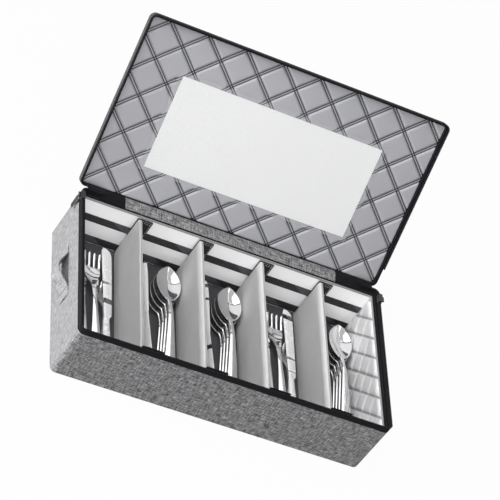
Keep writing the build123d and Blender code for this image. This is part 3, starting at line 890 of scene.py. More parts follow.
def make_quilted_lid(sizes):
    """The lid's lining: a quilted pad that lies flat behind the card and its sleeve."""
    low, high = span("lid_lining")
    wide, long, rise = sizes.quilt_w / MM, sizes.quilt_l / MM, sizes.quilt_rise / MM
    half_sleeve = span("lid_card")[1][0] + 5
    skin = Skin()
    u = cuts(low[0], high[0], 1.12, 2.4)
    v = cuts(LID_FRONT + LID_WALL, LID_BACK - LID_WALL, 1.12, 2.4)

    def face(a, b):
        pads = diamonds(a, AXIS_Y - b, wide, long, QUILT_START, rise)
        outside = np.maximum(np.abs(a) - half_sleeve, np.abs(b - CARD_MID) - SLEEVE_HALF_D)
        sewn = smooth(outside / 3.0)
        return LINING_T - rise + pads * sewn + (rise - 0.2) * (1 - sewn)

    def place(a, b, h):
        return opened(np.stack([a, b, LID_UNDER - h], -1))

    panel(skin, place, u, v, face, 0.0, 1.5, CORNER - LID_WALL)
    # the UV map holds metres across the lid and metres from the hinge line
    skin.uvs = [np.stack([w[:, 0], AXIS_Y - w[:, 1]], -1) for w in skin.uvs]
    piece = fit(skin, "quilted_lid_lining", "lid_quilt", "lid", "lid_lining")


def make_quilted_ends(sizes):
    """The quilted linings of the two ends, with smaller diamonds."""
    size = sizes.end_quilt / MM
    for name, way in (("left", 1), ("right", -1)):
        low, high = span(f"liner_{name}")
        wall = low[0] if way > 0 else high[0]
        thick = high[0] - low[0]
        skin = Skin()
        u, v = cuts(low[1], high[1], 1.1, 1.2), cuts(low[2], high[2], 1.1, 1.2)

        def face(a, b):
            return thick - 1.0 + 0.9 * diamonds(a, b, size, size, size / 2, 1.0)

        panel(skin, against(0, wall, way), u, v, face, 0.0, 1.2)
        piece = fit(skin, f"{name}_quilted_lining", "end_quilt", "chest", f"liner_{name}")


def make_lid():
    """The covered lid: a flat top with a rounded edge, a short skirt and the board inside it."""
    skin = Skin()
    path = rail(LID_HALF_W, LID_FRONT, LID_BACK, CORNER)
    edge = arc_rows((-LID_EDGE, LID_TOP - LID_EDGE), LID_EDGE, 90, 0, 6)
    lip = arc_rows((-LIP, LID_SKIRT + LIP), LIP, 0, -90, 3)
    wall = [(0.0, LID_TOP - LID_EDGE - 3), (0.0, LID_SKIRT + 3)]
    outer = sweep(skin, path, edge + wall + lip, opened, 2)
    inner = sweep(skin, path, lip[-1:] + [(-LID_WALL, LID_SKIRT), (-LID_WALL, LID_UNDER)], opened, 1)
    flat = path[0]
    skin.fan(outer[0], flat)
    skin.fan(inner[-1], flat)
    fit(skin, "lid_cover", "cloth tape skirt", "lid", "lid_shell", 40)


def make_rim(sizes):
    """Black binding folded over the rim, and the grey piping along its inner edge."""
    pitch = sizes.stitch_pitch / MM
    skin = Skin()
    path = rail(HALF_W, -HALF_D, HALF_D, CORNER, arc=12)
    fold = [(0.0, CASE_H - 1.2), (0.3, CASE_H - 1.0), (0.3, CASE_H), (0.0, RIM_TOP)]  # over the outer corner
    fold += [(-3.0, RIM_TOP + 0.05), (0.4 - BOUND, RIM_TOP), (-BOUND, CASE_H + 0.3), (-BOUND, CASE_H - 0.4)]
    fold += [(1.2 - BOUND, CASE_H - 0.2), (-3.0, CASE_H - 0.1), (-0.2, CASE_H - 0.3), fold[0]]
    sweep(skin, path, fold)
    seam, normals, _ = spaced(path, pitch)
    row = seam - BOUND_SEAM * normals
    line = np.concatenate([row, np.full((len(row), 1), RIM_TOP)], -1)
    stitched(skin, line, (0, 0, 1), pitch)
    fit(skin, "rim_tape", "tape black_thread", "chest", "rim_binding", 40)
    low, high = span("rim_piping")
    skin = Skin()
    bead = rounded_loop(-RIM_W, -BOUND, low[2], high[2] + 0.1, 0.5)
    sweep(skin, path, bead)
    fit(skin, "rim_bead", "piping", "chest", "rim_piping", 40)


def teeth_row(skin, path, pitch, low, high, place=None):
    """Zip teeth: small six-sided blocks at even steps along the path, narrower on top."""
    points, normals, _ = spaced(path, pitch)
    along = np.stack([-normals[:, 1], normals[:, 0]], -1)
    t = np.array([0.0, 0.0, 0.6, 1.0, 1.0]) * (high - low) + low
    half_out = np.array([0.0, 1.15, 1.2, 0.8, 0.0])
    half_run = np.array([0.0, 0.62, 0.66, 0.45, 0.0]) * pitch / 2 * 1.1
    turn = np.linspace(0, 2 * math.pi, 7)
    out = half_out[:, None] * np.cos(turn) - 0.7
    run = half_run[:, None] * np.sin(turn)
    flat = (
        points[:, None, None, :]
        + out[None, ..., None] * normals[:, None, None, :]
        + run[None, ..., None] * along[:, None, None, :]
    )
    up = np.broadcast_to(t[None, :, None, None], flat.shape[:-1] + (1,))
    p = np.concatenate([flat, up], -1)
    skin.grid(p if place is None else place(p), np.stack(np.broadcast_arrays(t[:, None], turn[None]), -1))


def make_zip(sizes):
    """Both zip tapes with their rows of teeth: the case's
    stands on the rim, the lid's hangs from the skirt."""
    pitch = sizes.tooth_pitch / MM
    gap = span("body_zip_tape")[1][0] - TAPE_RETURN
    body_path = rail(HALF_W, -HALF_D, HALF_D, CORNER, gap=gap, step=6)
    lid_path = rail(LID_HALF_W, LID_FRONT, LID_BACK, CORNER, reach=LID_TAPE_END, step=6)
    for name, path, low, high, place, body, node in (
        ("case", body_path, RIM_TOP, TAPE_TOP, None, "chest", "body_zip_tape"),
        ("lid", lid_path, LID_TAPE_LOW, LID_SKIRT, opened, "lid", "lid_zip_tape"),
    ):
        skin = Skin()
        mid = (low + high) / 2
        loop = [(0, low), (0.12, mid - 0.8), (0.0, mid), (0.1, high - 0.6), (-0.1, high)]
        loop += [(0.1 - TAPE_T, high), (-TAPE_T, high - 0.6), (0.1 - TAPE_T, mid), (-TAPE_T, low), (0, low)]
        sweep(skin, path, loop, place, ends=True)
        fit(skin, f"{name}_tape", "tape", body, node)
    for name, path, low, place, body, node in (
        ("case", body_path, TAPE_TOP, None, "chest", "body_zip_chain"),
        ("lid", lid_path, LID_CHAIN_LOW, opened, "lid", "lid_zip_chain"),
    ):
        skin = Skin()
        teeth_row(skin, path, pitch, low, low + CHAIN_H, place)
        core = rounded_loop(-1.2, -0.2, low + 0.3, low + 1.2, 0.3, 3)
        sweep(skin, path, core, place, ends=True)
        fit(skin, f"{name}_teeth", "teeth", body, node)


# (y, z) points of the hinge cloth while the lid stands open, and of the cloth behind the two back corners
HINGE_LINE = (
    (122.6, 88.3), (125.0, 88.9), (127.5, 89.2), (130.5, 90.2),
    (134.0, 90.6), (138.5, 90.0), (143.0, 88.4), (144.2, 87.6),
)
CORNER_LINE = (
    (128.5, 88.6), (128.7, 91.2), (130.4, 93.2), (134.5, 92.6), (139.5, 90.6), (143.0, 88.9), (144.2, 88.0),
)
GUSSET_END, CORNER_NEAR, CORNER_FAR = 204.9, 199.0, 225.0  # distances from the middle, along the hinge


def curve_through(knots, count):
    """A smooth line through a few points, by the Catmull-Rom rule, at even steps of its parameter."""
    knots = np.asarray(knots, float)
    k = np.concatenate([2 * knots[:1] - knots[1:2], knots, 2 * knots[-1:] - knots[-2:-1]])
    at = np.linspace(0, len(knots) - 1, count)
    i = np.minimum(at.astype(int), len(knots) - 2)
    t = (at - i)[:, None]
    a, b, c, d = k[i], k[i + 1], k[i + 2], k[i + 3]
    return 0.5 * (2 * b + (c - a) * t + (2 * a - 5 * b + 4 * c - d) * t**2 + (3 * b - a - 3 * c + d) * t**3)


def hinge_cloth(skin, x0, x1, thick, slack, step=3.0, knots=HINGE_LINE):
    """A strip of cloth from the rim over the hinge line to the lid's skirt: a line of (y, z) knots carried
    along X, with a slow slackness between its sewn edges and a second layer a thickness below."""
    line = curve_through(knots, 26)
    x = np.linspace(x0, x1, max(4, int(abs(x1 - x0) / step)))
    t = np.linspace(0, 1, len(line))
    free = np.sin(math.pi * t)[:, None] ** 1.5
    wave = slack * free * (np.sin(x / 19.0)[None] + 0.6 * np.sin(x / 7.7 + 4 * t[:, None]))
    y = np.broadcast_to(line[:, :1], wave.shape)
    top = np.stack([np.broadcast_to(x, wave.shape), y, line[:, 1:] + wave], -1)
    under = top - [0, 0, thick]
    run = run_of(line)
    uv = np.stack(np.broadcast_arrays(x[None], run[:, None]), -1)
    skin.grid(top, uv)
    skin.grid(under[::-1], uv[::-1])
    for side in (0, -1, np.s_[:, 0], np.s_[:, -1]):
        a, b = top[side], under[side]
        flat = np.stack([a[:, 0] + a[:, 1], a[:, 2]], -1)
        skin.grid(np.stack([a, b]), np.stack([flat, flat - [0, thick]]))
    return top


def make_hinge(sizes):
    """The woven hinge band between its two black gussets. All three arch over the hinge line, in the shape
    they take while the lid stands open.
    """
    pitch = sizes.stitch_pitch / MM
    low, high = span("hinge_band")
    skin = Skin()
    top = hinge_cloth(skin, low[0], high[0], thick=0.9, slack=0.12)
    for row in (3, 20):  # beside the rim and beside the lid
        stitched(skin, top[row], (0, 0, 1), pitch)
    band = skin.make("hinge_strip", "band grey_thread")
    pieces = [(band, "woven_fabric", ("hinge_band", "hinge_rim_strip"))]
    for side in ("left", "right"):
        low, high = span(f"hinge_gusset_{side}")
        skin = Skin()
        right = side == "right"
        reach = (low[0], GUSSET_END) if right else (-GUSSET_END, high[0])
        corner = (CORNER_NEAR, CORNER_FAR) if right else (-CORNER_FAR, -CORNER_NEAR)
        hinge_cloth(skin, *reach, thick=1.3, slack=0.35)
        hinge_cloth(skin, *corner, thick=1.2, slack=0.3, knots=CORNER_LINE)
        gusset = skin.make(f"{side}_gusset", "gusset")
        pieces.append((gusset, "black_tape", (f"hinge_gusset_{side}",)))
    for piece, slot, nodes in pieces:
        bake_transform(piece)
        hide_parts(*nodes)


def make_dividers(sizes):
    """Four cloth-covered boards, each with a stitched tab of hook tape at both ends."""
    pitch = sizes.stitch_pitch / MM
    for n in range(1, 5):
        low, high = span(f"divider_{n}")
        skin = Skin()
        thick = high[0] - low[0]
        u, v = cuts(low[1], high[1], 9, 1.4), cuts(low[2], high[2], 7, 1.4)
        mid = (low[0] + high[0]) / 2
        for way in (-1, 1):

            def face(a, b):
                return thick / 2 - 0.1 + 0.1 * np.sin(a / 17.0) * np.sin(b / 13.0)

            panel(skin, against(0, mid, way), u, v, face, 0.0, 1.4, BOARD_ROUND)
        line = np.array([(mid, y, high[2]) for y in (low[1] + BOARD_ROUND + 1, high[1] - BOARD_ROUND - 1)])
        stitched(skin, line, (0, 0, 1), pitch, 1, 1.1)
        finishes = "divider dark_thread"
        fit(skin, f"divider_board_{n}", finishes, f"divider_{n}_body", f"divider_{n}")
        make_tabs(n, pitch)


def make_tabs(n, pitch):
    """The two tabs of one divider: stiff tape with two
    stitch rows along the top and one down its free edge."""
    low, high = span(f"divider_{n}_tabs")
    board_low, board_high = span(f"divider_{n}")
    skin = Skin()
    thick, tall = 1.2, 37.0
    on_face = np.full(2, thick - 0.05)
    for way, end, width, top in ((1, high[1], 18.0, 83.0), (-1, low[1], 28.0, 91.0)):
        x0, x1 = board_low[0], board_high[0] + width
        u, v = cuts(x0, x1, 4, 0.5), cuts(top - tall, top, 4, 0.5)

        def face(a, b):
            return thick - 0.05 + 0.05 * np.sin(a / 3.1) * np.sin(b / 4.7)

        place = against(1, end, -way)
        panel(skin, place, u, v, face, 0.0, 0.5, 1.5)
        for below in (1.8, 5.2):
            a = np.array([board_high[0] + 1.5, x1 - 1.5])
            stitched(skin, place(a, np.full(2, top - below), on_face), (0, -way, 0), pitch)
        b = np.array([top - 1.8, top - tall + 1.5])
        stitched(skin, place(np.full(2, x1 - 1.8), b, on_face), (0, -way, 0), pitch)
    finishes = "tab white_thread"
    fit(skin, f"divider_tabs_{n}", finishes, f"divider_{n}_body", f"divider_{n}_tabs")


def make_hook_strips():
    """Two strips of hook tape along the front wall and two along the back."""
    for name, way in (("back", -1), ("front", 1)):
        low, high = span(f"hook_strips_{name}")
        wall = high[1] if way < 0 else low[1]
        skin = Skin()
        for z0, z1 in ((low[2], low[2] + HOOK_TAPE_W), (high[2] - HOOK_TAPE_W, high[2])):
            u, v = cuts(low[0], high[0], 6, 0.5), cuts(z0, z1, 3, 0.5)

            def face(a, b):
                return 0.92 + 0.06 * np.sin(a / 9.0 + b)

            panel(skin, against(1, wall, way), u, v, face, 0.0, 0.5)
        fit(skin, f"{name}_hook_tape", "hooks", "chest", f"hook_strips_{name}")


def make_card():
    """The blank card, and the clear sleeve over it with its welded border."""
    low, high = span("lid_card")
    face_z = LID_UNDER - LINING_T
    skin = Skin()

    def place(a, b, h):
        return opened(np.stack([a, b, face_z - h], -1))

    u, v = cuts(low[0], high[0], 12, 0.3), cuts(CARD_MID - CARD_HALF_D, CARD_MID + CARD_HALF_D, 12, 0.3)
    panel(skin, place, u, v, lambda a, b: np.full_like(a, 0.5), 0.0, 0.2, 1.5)
    fit(skin, "blank_card", "card", "lid", "lid_card")
    skin = Skin()
    low, high = span("lid_card_sleeve")
    u, v = cuts(low[0], high[0], 5, 0.6), cuts(CARD_MID - SLEEVE_HALF_D, CARD_MID + SLEEVE_HALF_D, 5, 0.6)
    weld = 4.5

    def film(a, b):
        border = np.maximum(np.abs(a) - SLEEVE_HALF_W + weld, np.abs(b - CARD_MID) - SLEEVE_HALF_D + weld)
        return 0.75 - 0.35 * smooth(border / 1.2) + 0.1 * np.sin(a / 6.0) * smooth(border / 1.2)

    panel(skin, place, u, v, film, 0.55, 0.15, 1.5)
    fit(skin, "clear_sleeve", "film", "lid", "lid_card_sleeve")


def ribbon(skin, line, width_low, width_high, thick):
    """A strap: a rounded bar section carried along a line seen from above, standing upright."""
    along = np.gradient(line, axis=0)
    along /= np.linalg.norm(along, axis=1, keepdims=True)
    out = np.stack([along[:, 1], -along[:, 0]], -1)
    path = (line, out, run_of(line))
    edge = thick * 0.45
    loop = rounded_loop(-thick / 2, thick / 2, width_low, width_high, edge, 4)
    sweep(skin, path, loop, ends=True)
    return path


def make_handles(sizes):
    """Strap handles of webbing: the middle bows out in a
    smooth S at each end, and the ends lie on the wall."""
    pitch = sizes.stitch_pitch / MM
    for side, way in (("left", -1), ("right", 1)):
        low, high = span(f"handle_{side}_strap")
        bulge = max(abs(low[0]), abs(high[0])) - HALF_W
        y = np.linspace(low[1], high[1], 41)
        t = (y - low[1]) / (high[1] - low[1])
        clear = 0.4
        out = (bulge - STRAP_T - clear) * np.sin(math.pi * t) ** 1.35 + STRAP_T / 2 + clear
        line = np.stack([way * (HALF_W + out), y], -1)
        skin = Skin()
        path = ribbon(skin, line, low[2], high[2], STRAP_T)
        for z in (low[2] + 2.0, high[2] - 2.0):
            outer = line + path[1] * STRAP_T / 2 * way * np.sign(path[1][20, 0])
            row = np.concatenate([outer, np.full((len(line), 1), z)], -1)
            stitched(skin, row, (way, 0, 0), pitch)
        finishes = "band grey_thread"
        fit(skin, f"{side}_strap", finishes, f"{side}_handle", f"handle_{side}_strap")
        make_strap_ends(side, way, pitch, low, high)


def make_strap_ends(side, way, pitch, strap_low, strap_high):
    """The flat sewn ends of a strap, each with a stitched box."""
    low, high = span(f"handle_{side}_patches")
    skin = Skin()
    for y0, y1 in ((low[1], strap_low[1] - 0.3), (strap_high[1] + 0.3, high[1])):
        u, v = cuts(y0, y1, 3, 0.8), cuts(low[2], high[2], 3, 0.8)
        place = against(0, way * HALF_W, way)
        panel(skin, place, u, v, lambda a, b: np.full_like(a, PATCH_T), 0.0, 0.8, 1.0)
        near, far, under, over = y0 + 2, y1 - 2, low[2] + 2, high[2] - 2
        box = np.array([(near, under), (far, under), (far, over), (near, over), (near, under)])
        for a, b in zip(box[:-1], box[1:]):
            pair = np.stack([a, b])
            stitched(skin, place(pair[:, 0], pair[:, 1], np.full(2, PATCH_T)), (way, 0, 0), pitch)
    finishes = "band grey_thread"
    fit(skin, f"{side}_strap_ends", finishes, "chest", f"handle_{side}_patches")


# ---- cutlery

METAL = 2.0  # thickness of the forks and of the spoons' handles
HANDLE_W = 17.0
NECK_W = 6.5
TABLE_FORK_L, TABLE_FORK_W = 195.0, 25.0
SALAD_FORK_L, SALAD_FORK_W = 160.0, 20.0
KNIFE_L = 220.0
GRIP_L = 92.0
GRIP_W, GRIP_T = 14.0, 6.9
BLADE_W, BLADE_T = 16.0, 2.0
SPOON_L = 195.0
SPOON_W = 38.0
BOWL_L = 64.0
BOWL_DEEP = 6.5
FORK_STEP, SPOON_STEP = 3.0, 4.8  # from one stacked fork or spoon up to the next


def plate(skin, place, x, y, low, thick, crown, keep):
    """A sheet of metal over a grid of points: top and underside stand thick
    apart, crown lifts the top, the rim of the kept cells is thinned to a
    soft edge, and walls close it round every cell that is left out."""
    rows, cols = x.shape
    padded = np.zeros((rows + 1, cols + 1), bool)
    padded[1:-1, 1:-1] = keep
    inside = padded[:-1, :-1] & padded[1:, :-1] & padded[:-1, 1:] & padded[1:, 1:]
    half = thick / 2 * np.where(inside, 1.0, 0.4)
    top = np.stack([x, y, low + thick / 2 + half + crown * inside], -1).reshape(-1, 3)
    under = np.stack([x, y, low + thick / 2 - half], -1).reshape(-1, 3)
    number = np.arange(rows * cols).reshape(rows, cols)
    corners = ((0, 0), (0, 1), (1, 1), (1, 0))
    a, b, c, d = (number[i : i + rows - 1, j : j + cols - 1][keep] for i, j in corners)
    faces = [np.stack([a, b, c, d], -1), np.stack([d, c, b, a], -1) + rows * cols]
    across = padded[:-1, 1:-1] != padded[1:, 1:-1]
    along = padded[1:-1, :-1] != padded[1:-1, 1:]
    for first, second, edge in ((number[:, :-1], number[:, 1:], across), (number[:-1], number[1:], along)):
        p, q = first[edge], second[edge]
        faces.append(np.stack([p, q, q + rows * cols, p + rows * cols], -1))
    points = np.concatenate([top, under])
    skin.add(place(points), np.concatenate(faces), points[:, :2])


def along_curve(knots, y):
    """The height of a smooth line through (y, height) knots, read at other values of y."""
    line = curve_through(sorted(knots), 400)
    return np.interp(y, line[:, 0], line[:, 1])


def handle_knots(start, neck_l, length):
    """Half widths of a handle: a narrow neck that widens evenly to a rounded end."""
    return [
        (start, NECK_W / 2),
        (start - neck_l, NECK_W / 2),
        ((start - neck_l - length + HANDLE_W) / 2, (NECK_W + HANDLE_W) / 4),
        (HANDLE_W * 0.8 - length, 0.5 * HANDLE_W),
        (HANDLE_W / 4 - length, 0.46 * HANDLE_W),
        (HANDLE_W / 16 - length, 0.32 * HANDLE_W),
        (-length, 0.12 * HANDLE_W),
    ]


def handle_rows(start, stop, length, count):
    """Where the rows of a handle lie along Y: even steps
    from start to stop, then closer ones round its end."""
    end = 8.0
    return [np.linspace(start, stop, count), end - length - np.array([2.0, 3.8, 5.4, 6.6, 7.4, 7.8, end])]


def fork_points(skin, length, head_w, place):
    """A fork on its back, tine tips at y = 0: one plate whose columns follow the four tines, with the slots
    left out, and then spread evenly over the head, the neck and the handle."""
    half = head_w / 2
    tine_l, tine_w = 24.0 * head_w / 25, 3.5 * head_w / 25
    root = -tine_l - 0.56 * head_w
    neck = root - 1.12 * head_w
    width = [(0, 1.06 * half), (-tine_l / 2, half), (-tine_l, 0.98 * half)]
    for back, share in ((-0.12, 0.95), (0.15, 0.74), (0.5, 0.47), (0.85, 0.31)):
        width.append((root - back * head_w, share * half))
    width += handle_knots(neck, head_w, length)
    side = [(2, 6), (-tine_l * 0.3, 3.4), (-tine_l * 0.8, 0.8), (root, 0), (root - 0.5 * head_w, 2.6)]
    side += [(neck, 5.5), (neck - head_w, 6), (-0.75 * length, 4.3), (-length - 2, 0)]
    tips = [[0, -0.25, -0.8, -1.8, -3.2], np.linspace(-5, -tine_l + 2, 14)]
    slot_ends = [[-tine_l + 0.7, -tine_l, -tine_l - 0.5], np.linspace(-tine_l - 2, neck, 22)]
    y = np.concatenate(tips + slot_ends + handle_rows(neck - 3, 8 - length, length, 26))
    w = along_curve(width, y)
    tip = np.sqrt(np.clip(1 - (1 - np.clip(-y / 3.2, 0, 1)) ** 2, 0.06, 1))
    spread = np.arange(4) - 1.5
    pitch = (head_w - tine_w) / 3
    across = np.array([-1, -0.7, 0.7, 1]) * tine_w / 2
    middles = spread[None, :, None] * pitch * (w / half)[:, None, None]
    free = (middles + tip[:, None, None] * across[None, None]).reshape(len(y), -1)
    share = (spread[:, None] * pitch + across[None]).ravel() / half
    at_root = int(np.argmin(np.abs(y + tine_l)))
    x = np.where((np.arange(len(y)) < at_root)[:, None], free, share[None] * w[:, None])
    slots = np.zeros((len(y) - 1, 15), bool)
    slots[:at_root, 3::4] = True
    yy = np.broadcast_to(y[:, None], x.shape)
    s = x / w[:, None]
    low = along_curve(side, y)[:, None] + 0.9 * s**2 * smooth((y - neck) / head_w)[:, None]
    thick = METAL * (0.55 + 0.45 * smooth(-yy / 18.0))
    crown = 0.45 * (1 - s**2) * smooth((neck - yy) / 20.0)
    plate(skin, place, x, yy, low, thick, crown, ~slots)


def spoon_points(skin, place):
    """A spoon on its back, bowl tip at y = 0. The bowl is an egg-shaped rim
    drawn in towards its middle, its depth a power of how far out a point lies,
    out along the underside and back along the dish. The handle is a plate."""
    mid = -0.49 * BOWL_L
    turn = np.linspace(0, 2 * math.pi, 73)
    reach = np.where(np.cos(turn) > 0, -mid, BOWL_L + mid)
    point = np.where(np.cos(turn) > 0, 1.5, 1.12)
    rim_x = SPOON_W / 2 * np.sign(np.sin(turn)) * np.abs(np.sin(turn)) ** point
    rim_y = reach * np.sign(np.cos(turn)) * np.abs(np.cos(turn)) ** 0.98
    outside = [0, 0.12, 0.25, 0.4, 0.55, 0.7, 0.82, 0.92, 0.98, 1.0]
    inside = [0.99, 0.965, 0.9, 0.8, 0.68, 0.54, 0.4, 0.25, 0.12, 0]
    out = np.array(outside + inside)[:, None]
    lift = np.concatenate([np.zeros(9), [0.55, 1.1, 1.4], np.full(8, 1.5)])[:, None]
    up = np.broadcast_to(BOWL_DEEP * out**1.9 + lift, (len(out), len(turn)))
    p = np.stack([out * rim_x, mid + out * rim_y, up], -1)
    skin.grid(place(p), p[..., :2])
    start = 6.0 - BOWL_L
    side = [(start + 1, 4.6), (start - 6, 5.9), (start - 19, 8.5), (start - 38, 10)]
    side += [(-0.8 * SPOON_L, 6), (-SPOON_L - 2, 0)]
    rows = handle_rows(start - 43, 8 - SPOON_L, SPOON_L, 24)
    y = np.concatenate([np.linspace(start, start - 40, 16)] + rows)
    w = along_curve(handle_knots(start, 25.0, SPOON_L), y)
    s = np.array([-1, -0.94, -0.75, -0.45, 0, 0.45, 0.75, 0.94, 1])
    x = w[:, None] * s
    yy = np.broadcast_to(y[:, None], x.shape)
    low = np.broadcast_to(along_curve(side, y)[:, None], x.shape)
    crown = 0.5 * (1 - np.broadcast_to(s**2, x.shape))
    plate(skin, place, x, yy, low, np.full_like(x, METAL), crown, np.ones((len(y) - 1, len(s) - 1), bool))


def knife_points(skin, place):
    """A knife lying flat, handle end at y = 0, edge at -x: a handle of oval sections with two fine rings,
    domed at the end, and a blade that thins evenly from its spine to its edge."""
    rings = np.array([88.2, 88.6, 89.2, 89.6])
    y = -np.concatenate([[0, 0, 0.5, 1.4, 3.0], np.linspace(6, 87.5, 24), rings, [90.5, GRIP_L, GRIP_L]])
    grip = [(0, 0.8), (-2, 0.86), (-23, 1.0), (-64, 0.8), (-GRIP_L, 9 / 14)]
    slim = [(0, 0.8), (-2, 0.86), (-23, 1.0), (-64, 0.8), (-GRIP_L, 0.6)]
    dome = np.concatenate([[0, 0.55, 0.8, 0.92, 0.98], np.ones(24), [1.0, 0.86, 0.86, 1.0], [1, 0.94, 0]])
    turn = np.linspace(0, 2 * math.pi, 29)
    wide = (GRIP_W / 2 * along_curve(grip, y) * dome)[:, None]
    thick = (GRIP_T / 2 * along_curve(slim, y) * dome)[:, None]
    p = np.stack(np.broadcast_arrays(wide * np.cos(turn), y[:, None], thick * np.sin(turn)), -1)
    skin.grid(place(p), np.stack(np.broadcast_arrays(y[:, None], 6 * turn[None]), -1))
    half, start = BLADE_W / 2, 2 - GRIP_L
    tip = -KNIFE_L
    edge = [(start, -3.6), (start - 6, -6.0), (start - 16, -half), (tip + 25.6, -half), (tip + 12, -7.4)]
    edge += [(tip + 5, -5.4), (tip + 1.3, -1.6), (tip, 2.5)]
    y = [np.linspace(start, start - 24, 14), np.linspace(start - 28, tip + 28, 14)]
    y += [np.linspace(tip + 25, tip + 3, 12), [tip + 1.6, tip + 0.7, tip]]
    y = np.concatenate(y)
    left = along_curve(edge, y)
    right = np.interp(y, [tip, tip + 1.6, tip + 6.4, start], [4.6, 6.0, 7.2, 3.6])
    t = np.array([0, 0.06, 0.3, 0.6, 0.94, 1.0])
    x = left[:, None] + t * (right - left)[:, None]
    thick = np.broadcast_to(BLADE_T * (0.35 + 0.65 * smooth(t * 1.6)), x.shape)
    whole = np.ones((len(y) - 1, len(t) - 1), bool)
    plate(skin, place, x, np.broadcast_to(y[:, None], x.shape), -thick / 2, thick, 0 * x, whole)


def set_down(dx, dy, dz, turn=0.0, lean=None):
    """A way of placing cutlery: stood on its edge at a
    lean if one is given, then turned about Z and moved."""
    c, s = math.cos(math.radians(turn)), math.sin(math.radians(turn))

    def place(p):
        x, y, z = p[..., 0], p[..., 1], p[..., 2]
        if lean is not None:
            tilt = math.radians(lean)
            x, z = x * math.sin(tilt) - z * math.cos(tilt), x * math.cos(tilt) + z * math.sin(tilt)
        return np.stack([dx + c * x - s * y, dy + s * x + c * y, dz + z], -1)

    return place


def lay(skin, bay, kind, finish):
    """Builds the forks, spoons or knife of one bay."""
    fit(skin, f"{kind}_{bay}", finish, f"cutlery_{bay}", f"bay{bay}_{kind}", 50)


def make_forks():
    """In two bays: three salad forks under a table fork, and two more under a knife that lies flat."""
    for bay in (1, 4):
        low, high = span(f"bay{bay}_forks")
        right, floor = high[0] + 6.0, low[2]
        skin = Skin()
        for side, back, count in ((53.0, 50.0, 3), (19.0, 72.0, 2)):
            for n in range(count):
                tip = IN_BACK - back - (count - 1 - n) * 2.5
                place = set_down(right - side, tip, floor + FORK_STEP * n)
                fork_points(skin, SALAD_FORK_L, SALAD_FORK_W, place)
        place = set_down(right - 40.4, IN_BACK - 32.0, floor + 10.1, 2.3)
        fork_points(skin, TABLE_FORK_L, TABLE_FORK_W, place)
        lay(skin, bay, "forks", "steel")
        low, high = span(f"bay{bay}_knife")
        skin = Skin()
        knife_points(skin, set_down(low[0] + 7.2, low[1], (low[2] + high[2]) / 2, 180.0))
        lay(skin, bay, "knife", "brushed")


def make_spoons():
    """In three bays: four nested spoons, and a knife that leans on its edge beside them."""
    for bay in (2, 3, 5):
        low, high = span(f"bay{bay}_spoons")
        knife_x = low[0] - 6.0
        skin = Skin()
        for n in range(4):
            spot = (high[0] - SPOON_W / 2 - 2.7 * n, high[1] - 5.7 * n, low[2] + SPOON_STEP * (3 - n))
            spoon_points(skin, set_down(*spot))
        lay(skin, bay, "spoons", "steel")
        low, high = span(f"bay{bay}_knife")
        skin = Skin()
        knife_points(skin, set_down(knife_x, high[1], low[2] + BLADE_W / 2 - 0.6, 2.6, 30.0))
        lay(skin, bay, "knife", "satin")


# ---- stage


def make_floor():
    """A wide plain floor that looks white to the camera and still takes a soft shadow."""
    skin = Skin()
    reach = 9000.0
    x, y = np.meshgrid(np.linspace(-reach, reach, 5), np.linspace(-reach, reach, 5), indexing="ij")
    skin.grid(np.stack([x, y, np.full_like(x, -0.05)], -1), np.stack([x, y], -1))
    paint = Paint("pale_floor", Base_Color=(0.55, 0.55, 0.55, 1.0), Roughness=0.9, Specular_IOR_Level=0.1)
    share = paint.light_path("Is Camera Ray").most(paint.light_path("Is Transmission Ray")) * 0.97
    white = paint.node("ShaderNodeEmission", None, {"Color": (1.0, 1.0, 1.0, 1.0), "Strength": 1.0})
    body = Value(paint, paint.shader.outputs[0])
    blend = paint.node("ShaderNodeMixShader", None, {0: share, 1: body, 2: white})
    paint.tree.links.new(blend.socket, paint.tree.nodes["Material Output"].inputs["Surface"])
    MATERIALS["floor"] = paint.material
    floor = skin.make("floor", "floor", 40)


def lamp(scene, name, place, power, size):
    """A square area lamp that points at the middle of the case."""
    data = bpy.data.lights.new(name, "AREA")
    data.energy, data.size, data.shape = power, size, "SQUARE"
    obj = bpy.data.objects.new(name, data)
    obj.location = place
    obj.rotation_mode = "QUATERNION"
    way = obj.location - Vector((0, 0, 0.1))
    obj.rotation_quaternion = way.to_track_quat("Z", "Y")
    scene.collection.objects.link(obj)


def make_lights(scene):
    """A low lamp from the left, a broad one from above, a weak one from the
    front, and a pale world. Metal sees that world as bright above and behind
    on the left, and dark on the other side, with soft bars across it."""
    lamp(scene, "key", (-3.2, -0.02, 0.16), 190.0, 0.8)
    lamp(scene, "sky", (-1.6, -0.32, 2.85), 80.0, 2.4)
    lamp(scene, "fill", (-0.16, -3.05, 1.05), 50.0, 1.4)
    world = bpy.data.worlds.new("studio")
    world.use_nodes = True
    studio = Nodes(world.node_tree)
    way = studio.node("ShaderNodeTexCoord")
    x, y, z = studio.parts(way)
    sheet = (z * 0.8 + y * 0.35 - x * 0.45).step(-0.1, 0.5)
    bars = studio.noise(way, 2.6, 1.0, 0.4).step(0.42, 0.58)
    seen = sheet * (0.5 + bars * 2.4) + 0.01
    glossy, camera = studio.light_path("Is Glossy Ray"), studio.light_path("Is Camera Ray")
    strength = glossy * seen + (1 - glossy) * 0.26
    back = world.node_tree.nodes["Background"]
    back.inputs["Color"].default_value = (1.0, 1.0, 1.0, 1.0)
    studio.plug(back.inputs["Strength"], camera + (1 - camera) * strength)
    scene.world = world
    scene.view_settings.view_transform = "Standard"


